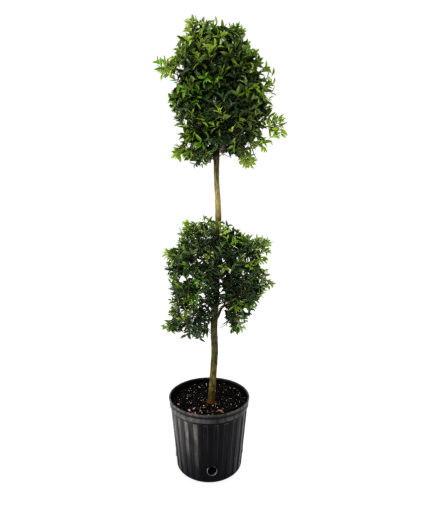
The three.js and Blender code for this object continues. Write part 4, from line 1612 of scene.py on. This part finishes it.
# %% Grow the wood of both balls
def grow(name, plan):
    """All twigs of a ball, and its leafy shoots as lines with the layer of each."""
    draw = seeded(plan["seed"] * 100)
    woods = [Wood(mass) for mass in all_masses[name]]
    middle = ball_middle(plan)
    tips = stray_tips(name, plan)
    for goal in spread(plan, plan["sprays"], streams["main"], *main_twigs["depth"]) + tips:
        wood = nearest(woods, goal)
        gap = (goal - wood.mass["heart"]).normalized()
        end_way = gap + up * main_twigs["rise"]
        line = twig_line(wood.mass["heart"], gap, goal, end_way, main_twigs["steps"], draw)
        wood.add(line, tapered(len(line), *main_twigs["thick"]))
    for goal in spread(plan, side_count, streams["side"], *side_twigs["depth"]):
        wood = nearest(woods, goal)
        start, way = wood.joint(goal, *side_twigs["off"])
        end_way = (goal - start).normalized() + up * side_twigs["rise"]
        line = twig_line(start, way, goal, end_way, side_twigs["steps"], draw)
        wood.add(line, tapered(len(line), *side_twigs["thick"]))
    shoots = []

    def add_shoot(goal, end_way, place):
        wood = nearest(woods, goal)
        start, way = wood.joint(goal, *leafy_twigs["off"])
        wanted = end_way or shoot_way(plan, goal, (goal - start).normalized(), place, draw)
        shoots.append((twig_line(start, way, goal, wanted, leafy_twigs["steps"], draw), place))

    for stream, (place, layer) in enumerate(layers.items(), streams["leafy"]):
        for goal in spread(plan, layer[name], stream, *layer["depth"]):
            add_shoot(goal, None, place)
    for tip, (_, _, _, hang) in zip(tips, strays[name]):
        for goal, end_way in stray_shoots(tip, middle, hang, draw):
            add_shoot(goal, end_way, "stray")
    return woods, shoots


grown = {name: grow(name, plan) for name, plan in ball_plans.items()}
for name, (woods, shoots) in grown.items():
    print(name, "twigs:", sum(len(wood.lines) for wood in woods), "shoots:", len(shoots))

# %% [markdown]
# Twigs as tubes
#
# A twig is a line with a thickness at each point. Geometry Nodes turn the edges of a
# plain mesh into curves and sweep a small ring along them, with the radius read from a
# point attribute. It takes the same few nodes for one twig or for a thousand.

# %% The twig tree
tubes, given, made = geometry_tree(
    "twigs from lines", [("Sides", "Int", 5), ("Thickness", "Float", 1.0), ("Material", "Material", None)]
)
curves = add_node(tubes, "GeometryNodeMeshToCurve", Mesh=given.outputs["Geometry"])
thick = add_node(tubes, "GeometryNodeInputNamedAttribute", {"data_type": "FLOAT"}, Name="thick")
scaled = add_node(tubes, "ShaderNodeMath", {"operation": "MULTIPLY"})
tubes.links.new(thick.outputs["Attribute"], scaled.inputs[0])
tubes.links.new(given.outputs["Thickness"], scaled.inputs[1])
sized = add_node(tubes, "GeometryNodeSetCurveRadius", Curve=curves.outputs[0], Radius=scaled.outputs[0])
ring = add_node(tubes, "GeometryNodeCurvePrimitiveCircle", Resolution=given.outputs["Sides"], Radius=1.0)
swept = add_node(
    tubes, "GeometryNodeCurveToMesh", Curve=sized.outputs[0], Profile_Curve=ring.outputs[0], Fill_Caps=True
)
if "Scale" in swept.inputs:
    radius = add_node(tubes, "GeometryNodeInputRadius")
    tubes.links.new(radius.outputs[0], swept.inputs["Scale"])
smooth = add_node(tubes, "GeometryNodeSetShadeSmooth", Geometry=swept.outputs[0])
real = add_node(tubes, "GeometryNodeRealizeInstances", Geometry=smooth.outputs[0])
paint = given.outputs["Material"]
painted = add_node(tubes, "GeometryNodeSetMaterial", Geometry=real.outputs[0], Material=paint)
tubes.links.new(painted.outputs[0], made.inputs[0])


def line_object(name, lines):
    """A mesh of edges with a thickness at each point, in metres."""
    points, edges, values = [], [], []
    for line, radii in lines:
        first = len(points)
        points += [tuple(p * MM) for p in line]
        values += [r * MM for r in radii]
        edges += [(first + k, first + k + 1) for k in range(len(line) - 1)]
    mesh = bpy.data.meshes.new(name)
    mesh.from_pydata(points, edges, [])
    mesh.attributes.new("thick", "FLOAT", "POINT").data.foreach_set("value", values)
    return new_object(name, mesh)


# %% Twig finishes
twig_wood = Finish("twig_bark", Roughness=0.9, Specular_IOR_Level=0.0)
grain = twig_wood.noise(160.0, 3.0, 0.6)
twig_wood.colour(
    twig_wood.ramp(
        grain,
        (0.32, (0.050, 0.036, 0.024)),
        (0.55, (0.110, 0.080, 0.052)),
        (0.75, (0.200, 0.160, 0.110)),
    )
)
twig_wood.bump(twig_wood.noise(900.0, 2.0, 0.5), 0.2)

shoot_green = Finish("green_shoots", Roughness=0.6, Specular_IOR_Level=0.1)
grain = shoot_green.noise(120.0, 2.0, 0.5)
shoot_green.colour(
    shoot_green.ramp(
        grain,
        (0.35, (0.090, 0.062, 0.026)),
        (0.50, (0.110, 0.120, 0.035)),
        (0.68, (0.190, 0.230, 0.060)),
    )
)
shoot_green.bump(shoot_green.noise(900.0, 2.0, 0.5), 0.1)

# %% [markdown]
# Leaves
#
# The leaves are small pointed ellipses that stand in opposite pairs, each pair turned a
# quarter from the one before. A leaf is folded along its midrib, bends down towards its
# tip, and has a glossy face and a paler back. Four forms are enough: nobody sees two
# alike beside each other when each copy is also scaled and turned.

# %% Leaf forms
# How wide the leaf is along its length, both as shares.
leaf_stations = [(0.16, 0.55), (0.44, 1.0), (0.74, 0.74)]


def leaf_form(name, fold, droop, twist, thickness=0.012):
    """A leaf of unit length and width along +X, its face up, closed at a sharp edge."""

    def put(x, y, lift):
        turn = twist * x
        z = fold * abs(y) * 2 - droop * x * x + lift
        return (x, y * math.cos(turn) - z * math.sin(turn), y * math.sin(turn) + z * math.cos(turn))

    points = [put(0, 0, 0), put(1, 0, 0)]
    for x, wide in leaf_stations:
        points += [put(x, wide / 2, 0), put(x, -wide / 2, 0)]
    for lift in (thickness, -thickness):
        points += [put(x, 0, lift) for x, _ in leaf_stations]
    count = len(leaf_stations)
    faces, under = [], []
    for side in (0, 1):
        middle = [2 + 2 * count + side * count + k for k in range(count)]
        for hand in (0, 1):
            edge = [2 + 2 * k + hand for k in range(count)]
            strip = [(0, middle[0], edge[0])]
            for k in range(count - 1):
                strip.append((middle[k], middle[k + 1], edge[k]))
                strip.append((edge[k], middle[k + 1], edge[k + 1]))
            strip.append((middle[-1], 1, edge[-1]))
            flip = (hand == 1) != (side == 1)
            faces += [tuple(reversed(f)) if flip else f for f in strip]
            under += [side == 1] * len(strip)
    mesh = bpy.data.meshes.new(name)
    mesh.from_pydata(points, [], faces)
    mesh.update()
    mesh.shade_smooth()
    mesh.attributes.new("underside", "BOOLEAN", "FACE").data.foreach_set("value", under)
    rim = set(range(2 + 2 * count))
    sharp = [all(v in rim for v in edge.vertices) for edge in mesh.edges]
    mesh.attributes.new("sharp_edge", "BOOLEAN", "EDGE").data.foreach_set("value", sharp)
    return bpy.data.objects.new(name, mesh)


leaf_forms = [
    leaf_form("leaf_a", 0.10, 0.16, 0.0),
    leaf_form("leaf_b", 0.16, 0.30, 0.25),
    leaf_form("leaf_c", 0.07, 0.08, -0.2),
    leaf_form("leaf_d", 0.22, 0.22, -0.45),
]
print("faces of a leaf:", len(leaf_forms[0].data.polygons))

# %% Leaf kinds
# Each kind has a face, a back and a gloss. They run from leaves of the heart, painted
# near black as painted shade inside the ball, to new growth. Beside them stand a few deep
# green shoots, and pale ones on the hanging strays.
leaf_kinds = {
    "heart": {"face": (0.010, 0.020, 0.008), "back": (0.018, 0.032, 0.014), "rough": 0.42},
    "mature": {"face": (0.029, 0.050, 0.015), "back": (0.056, 0.084, 0.040), "rough": 0.30},
    "summer": {"face": (0.080, 0.124, 0.013), "back": (0.120, 0.166, 0.052), "rough": 0.35},
    "young": {"face": (0.146, 0.208, 0.014), "back": (0.195, 0.258, 0.060), "rough": 0.40},
    "fresh": {"face": (0.250, 0.338, 0.026), "back": (0.310, 0.392, 0.095), "rough": 0.45},
    "lush": {"face": (0.105, 0.205, 0.012), "back": (0.160, 0.280, 0.040), "rough": 0.38},
    "pale": {"face": (0.200, 0.250, 0.085), "back": (0.320, 0.365, 0.190), "rough": 0.50},
}
hues = {"lower": (0.97, 1.03, 1.1), "upper": (0.97, 1.02, 0.87)}


def leaf_paint(name, kind, side, gloss, **look):
    """The finish of one side of a leaf, in the hue of its ball."""
    finish = Finish(f"leaf_{side}_{name}_{kind}", Specular_IOR_Level=gloss, **look)
    colour = [part * hue for part, hue in zip(leaf_kinds[kind][side], hues[name])]
    finish.shader.inputs["Base Color"].default_value = (*colour, 1)
    return finish.material


leaf_paints = {}
for name in ball_plans:
    for kind, look in leaf_kinds.items():
        face = leaf_paint(name, kind, "face", 0.34, Roughness=look["rough"])
        back = leaf_paint(name, kind, "back", 0.12, Roughness=0.6)
        leaf_paints[name, kind] = (face, back)

# %% [markdown]
# Dealing out the leaves
#
# Colour is dealt by spray: a whole shoot is old or new, its tip a step younger than the
# rest. Shoots that face the light are more often new, partly real growth and partly
# painted light on the lit side, and so are shoots on the left and right flanks, a painted
# glow as of light through the leaves. Slow noise gathers them in groups, as regrowth after
# clipping comes in flushes. On the near side some tufts of new growth have a place of
# their own. Shoots in the heart of a ball get the darkest kind, as painted shade, a few
# are a deep lush green, and some of the strays are pale. A leaf that would touch the
# stem, stand in a bare space or an opening, or pass the outline too far is left out, and
# so is a shoot that lost most of its leaves that way.

# %% Leaves along a shoot
leaf_sizes = {"lower": (27.5, 7.9), "upper": (32.5, 8.7)}
pair_gap = {"lower": 8.8, "upper": 9.8}
sun = {"lower": Vector((0.25, 0, 0.97)), "upper": Vector((0.42, 0, 0.91))}
least_kept = 0.42
kind_order = list(leaf_kinds)
oldest, lush, pale = 1, kind_order.index("lush"), kind_order.index("pale")
unfading = (0, lush, pale)
# What makes a shoot young and bright: chance, how far it faces the light (partly painted
# light), its place on the left or right flank (a painted glow) and the flushes.
lit = {"lower": 0.52, "upper": 0.62}
by_chance, flank_glow, by_flush = 0.36, 0.50, 0.52
late = {"share": 0.06, "younger": 0.45}
stray_age, stray_pale = 0.22, 0.35
lush_from, lush_flush = 0.45, 0.31
middle_ages = [0.34, 0.72]
outer_ages = [0.34, 0.56, 0.82]

# Where the near side shows new growth, seen like the openings: x, z, radius.
new_growth = {
    "lush": [
        (30, 1293, 17), (-44, 1241, 15), (59, 1162, 17), (-23, 1111, 15), (-25, 660, 17), (-45, 592, 19),
        (-20, 804, 15),
    ],
    "fresh": [
        (43, 1313, 14), (134, 1264, 16), (-41, 1205, 17), (34, 1203, 14), (74, 1128, 15), (119, 1168, 14),
        (29, 1416, 14), (137, 694, 18), (97, 761, 15), (-140, 504, 20), (99, 500, 14), (-146, 728, 16),
    ],
    "young": [
        (168, 1290, 32), (180, 1238, 34), (152, 1335, 24), (158, 1190, 24), (-124, 1270, 26),
        (-122, 1222, 24), (-32, 1345, 22), (-15, 1387, 24), (-10, 1440, 36), (75, 1440, 30),
        (60, 1359, 18), (113, 1076, 18), (-86, 1126, 18), (13, 738, 20), (-76, 821, 24),
        (63, 794, 20), (70, 687, 20), (-70, 537, 18), (0, 518, 12), (162, 784, 20),
    ],
}


def shoot_kind(name, plan, tip, place, draw):
    """How young a shoot is, as a place in the order of the kinds."""
    # The heart kind: leaves painted near black, as painted shade inside the ball.
    if place == "heart":
        return 0
    facing = (tip - ball_middle(plan)).normalized().dot(sun[name])
    middle, radius = outline_at(plan, tip.z)
    flank = min(abs(tip.x - middle) / max(radius, 60), 1.1)
    flush = noise.noise(tip * 0.016) + 0.5 * noise.noise(tip * 0.045)
    # Painted light: shoots that face the light, and those on the flanks, get brighter kinds.
    age = plan["youth"] + draw() * by_chance + lit[name] * max(facing, 0)
    age += flank_glow * flank**2
    age += by_flush * flush
    if draw() < late["share"]:
        age += late["younger"]
    if place == "outer" and tip.y < 0:
        for kind, spots in new_growth.items():
            if seen_in(tip, spots):
                return kind_order.index(kind)
    if place == "middle":
        return int(np.searchsorted(middle_ages, age))
    if place == "stray":
        age += stray_age
        if draw() < stray_pale:
            return pale
    if age > lush_from and noise.noise(tip * 0.03 + Vector((0, 7, 0))) > lush_flush:
        return lush
    return oldest + int(np.searchsorted(outer_ages, age))


def walk_line(line, back):
    """The point a distance back from the tip of a line, and the way it grows there."""
    for k in range(len(line) - 2, -1, -1):
        step = (line[k + 1] - line[k]).length
        if back <= step or k == 0:
            return line[k + 1].lerp(line[k], min(back / step, 1)), (line[k + 1] - line[k]).normalized()
        back -= step


# A leafy shoot: how much of it bears leaves, in millimetres and as a share, how far from
# its tip the first pair stands, and how the gaps between pairs vary. Pairs turn by a
# quarter, give or take; they open out in degrees and are full-grown further from the tip.
bearing = {"outside": 62, "heart": 75, "share": 0.9, "first": 0.8, "tip_gap": 0.55, "gap": (0.85, 0.4)}
pair_turn = {"by": 90, "chance": 24}
opening = {"tip": 24, "step": 13, "most": 60, "chance": 18}
growing = {"tip": 0.64, "step": 0.18, "smallest": 0.84, "chance": 0.32}
leaf_width = {"least": 0.9, "chance": 0.25}
tip_pairs, lost_share = 3, 0.1
lift = {"tip": 0.14, "step": 0.04, "face": 0.7, "chance": 0.5}


def leaves_along(line, size, gap, kind, place, draw):
    """Places, turns, sizes and kinds of the leaves of one shoot, from its tip inwards."""
    whole = sum((b - a).length for a, b in zip(line, line[1:]))
    leafy = min(whole * bearing["share"], bearing["heart" if place == "heart" else "outside"])
    side = None
    found = []
    back = bearing["first"]
    order = 0
    while back < leafy:
        spot, growth = walk_line(line, back)
        if side is None:
            side = growth.cross(any_way(draw)).normalized()
        turned = pair_turn["by"] + pair_turn["chance"] * (draw() - 0.5)
        side = Quaternion(growth, math.radians(turned)) @ side
        side = (side - growth * side.dot(growth)).normalized()
        full = min(1.0, growing["tip"] + growing["step"] * order)
        opened = min(opening["tip"] + opening["step"] * order, opening["most"])
        open_out = math.radians(opened + opening["chance"] * (draw() - 0.5))
        for hand in (1, -1):
            if order >= tip_pairs and draw() < lost_share:
                continue
            along = growth * math.cos(open_out) + side * hand * math.sin(open_out)
            along = (along + up * (lift["tip"] - lift["step"] * order)).normalized()
            face = growth + up * lift["face"] + any_way(draw) * lift["chance"]
            across = face.cross(along).normalized()
            grow = full * (growing["smallest"] + growing["chance"] * draw())
            wide = grow * (leaf_width["least"] + leaf_width["chance"] * draw())
            found.append(
                {
                    "spot": spot,
                    "along": along,
                    "turn": Matrix((along, across, along.cross(across))).transposed().to_quaternion(),
                    "scale": (size[0] * grow, size[1] * wide, size[0] * grow),
                    "form": int(draw() * len(leaf_forms)),
                    "kind": kind if order < tip_pairs or kind in unfading else max(kind - 1, oldest),
                }
            )
        order += 1
        least, more = bearing["gap"]
        back += gap * (bearing["tip_gap"] if order == 1 else least + more * draw())
    return found


def fits(plan, leaf, place):
    """True where a leaf keeps to its ball, off the stem and out of spaces and openings."""
    tip = leaf["spot"] + leaf["along"] * leaf["scale"][0]
    middle = leaf["spot"] + leaf["along"] * leaf["scale"][0] * 0.5
    if place != "stray" and past_outline(plan, tip) > allowance(plan, tip):
        return False
    if any(in_bare_space(plan, p) for p in (tip, middle)):
        return False
    if any(seen_in(leaf["spot"].lerp(tip, share), sky, leaf_room) for share in (0.15, 0.4, 0.65, 0.9)):
        return False
    return clear_of_stem(tip) and clear_of_stem(middle)


# %% Deal out the leaves
leaves = {(name, kind): [] for name in ball_plans for kind in leaf_kinds}
leafy_shoots = {name: [] for name in ball_plans}
for name, plan in ball_plans.items():
    draw = seeded(plan["seed"] * 1000)
    for line, place in grown[name][1]:
        kind = shoot_kind(name, plan, line[-1], place, draw)
        along = leaves_along(line, leaf_sizes[name], pair_gap[name], kind, place, draw)
        kept = [leaf for leaf in along if fits(plan, leaf, place)]
        if len(kept) < least_kept * len(along):
            continue
        leafy_shoots[name].append((line, tapered(len(line), *leafy_twigs["thick"])))
        for leaf in kept:
            leaves[name, kind_order[leaf["kind"]]].append(leaf)
for key, found in leaves.items():
    print(*key, len(found))

# %% Twigs of both balls
for name, (woods, _) in grown.items():
    lines = [line for wood in woods for line in wood.lines]
    values = {"Sides": 5, "Thickness": 1.0, "Material": twig_wood.material}
    piece = run_tree("twigs_" + name, line_object("lines", lines), tubes, values)
    finish_piece(piece, "bough_bark")
    values = {"Sides": 4, "Thickness": 1.0, "Material": shoot_green.material}
    piece = run_tree("shoots_" + name, line_object("lines", leafy_shoots[name]), tubes, values)
    finish_piece(piece, "leaves")

# %% The leaf tree
tree, given, made = geometry_tree(
    "leaves on points",
    [
        ("Forms", "Collection", None),
        ("Size", "Float", 1.0),
        ("Face", "Material", None),
        ("Back", "Material", None),
    ],
)
forms = add_node(
    tree,
    "GeometryNodeCollectionInfo",
    Collection=given.outputs["Forms"],
    Separate_Children=True,
    Reset_Children=True,
)
turn = add_node(tree, "GeometryNodeInputNamedAttribute", {"data_type": "QUATERNION"}, Name="turn")
scale = add_node(tree, "GeometryNodeInputNamedAttribute", {"data_type": "FLOAT_VECTOR"}, Name="scale")
form = add_node(tree, "GeometryNodeInputNamedAttribute", {"data_type": "INT"}, Name="form")
sized = add_node(tree, "ShaderNodeVectorMath", {"operation": "SCALE"})
tree.links.new(scale.outputs["Attribute"], sized.inputs[0])
tree.links.new(given.outputs["Size"], sized.inputs["Scale"])
copies = add_node(
    tree,
    "GeometryNodeInstanceOnPoints",
    Points=given.outputs["Geometry"],
    Instance=forms.outputs[0],
    Pick_Instance=True,
    Instance_Index=form.outputs["Attribute"],
    Rotation=turn.outputs["Attribute"],
    Scale=sized.outputs[0],
)
real = add_node(tree, "GeometryNodeRealizeInstances", Geometry=copies.outputs[0])
faced = add_node(tree, "GeometryNodeSetMaterial", Geometry=real.outputs[0], Material=given.outputs["Face"])
under = add_node(tree, "GeometryNodeInputNamedAttribute", {"data_type": "BOOLEAN"}, Name="underside")
backed = add_node(
    tree,
    "GeometryNodeSetMaterial",
    Geometry=faced.outputs[0],
    Selection=under.outputs["Attribute"],
    Material=given.outputs["Back"],
)
tree.links.new(backed.outputs[0], made.inputs[0])


def point_object(name, found):
    """A mesh of loose points with the turn, scale and form of a leaf at each."""
    mesh = bpy.data.meshes.new(name)
    mesh.from_pydata([tuple(leaf["spot"] * MM) for leaf in found], [], [])
    turns = np.array([tuple(leaf["turn"]) for leaf in found]).ravel()
    mesh.attributes.new("turn", "QUATERNION", "POINT").data.foreach_set("value", turns)
    scales = np.array([leaf["scale"] for leaf in found]).ravel() * MM
    mesh.attributes.new("scale", "FLOAT_VECTOR", "POINT").data.foreach_set("vector", scales)
    shapes = [leaf["form"] for leaf in found]
    mesh.attributes.new("form", "INT", "POINT").data.foreach_set("value", shapes)
    return new_object(name, mesh)


# %% Leaves of both balls
forms_group = collection_of("leaf forms", leaf_forms)
for (name, kind), found in leaves.items():
    face, back = leaf_paints[name, kind]
    values = {"Forms": forms_group, "Size": 1.0, "Face": face, "Back": back}
    piece = run_tree(f"leaves_{name}_{kind}", point_object("points", found), tree, values)
    stands_for = ["foliage_" + mass["name"] for mass in all_masses[name]] if kind == "mature" else []
    finish_piece(piece, "leaves", *stands_for)
for form in leaf_forms:
    bpy.data.objects.remove(form)
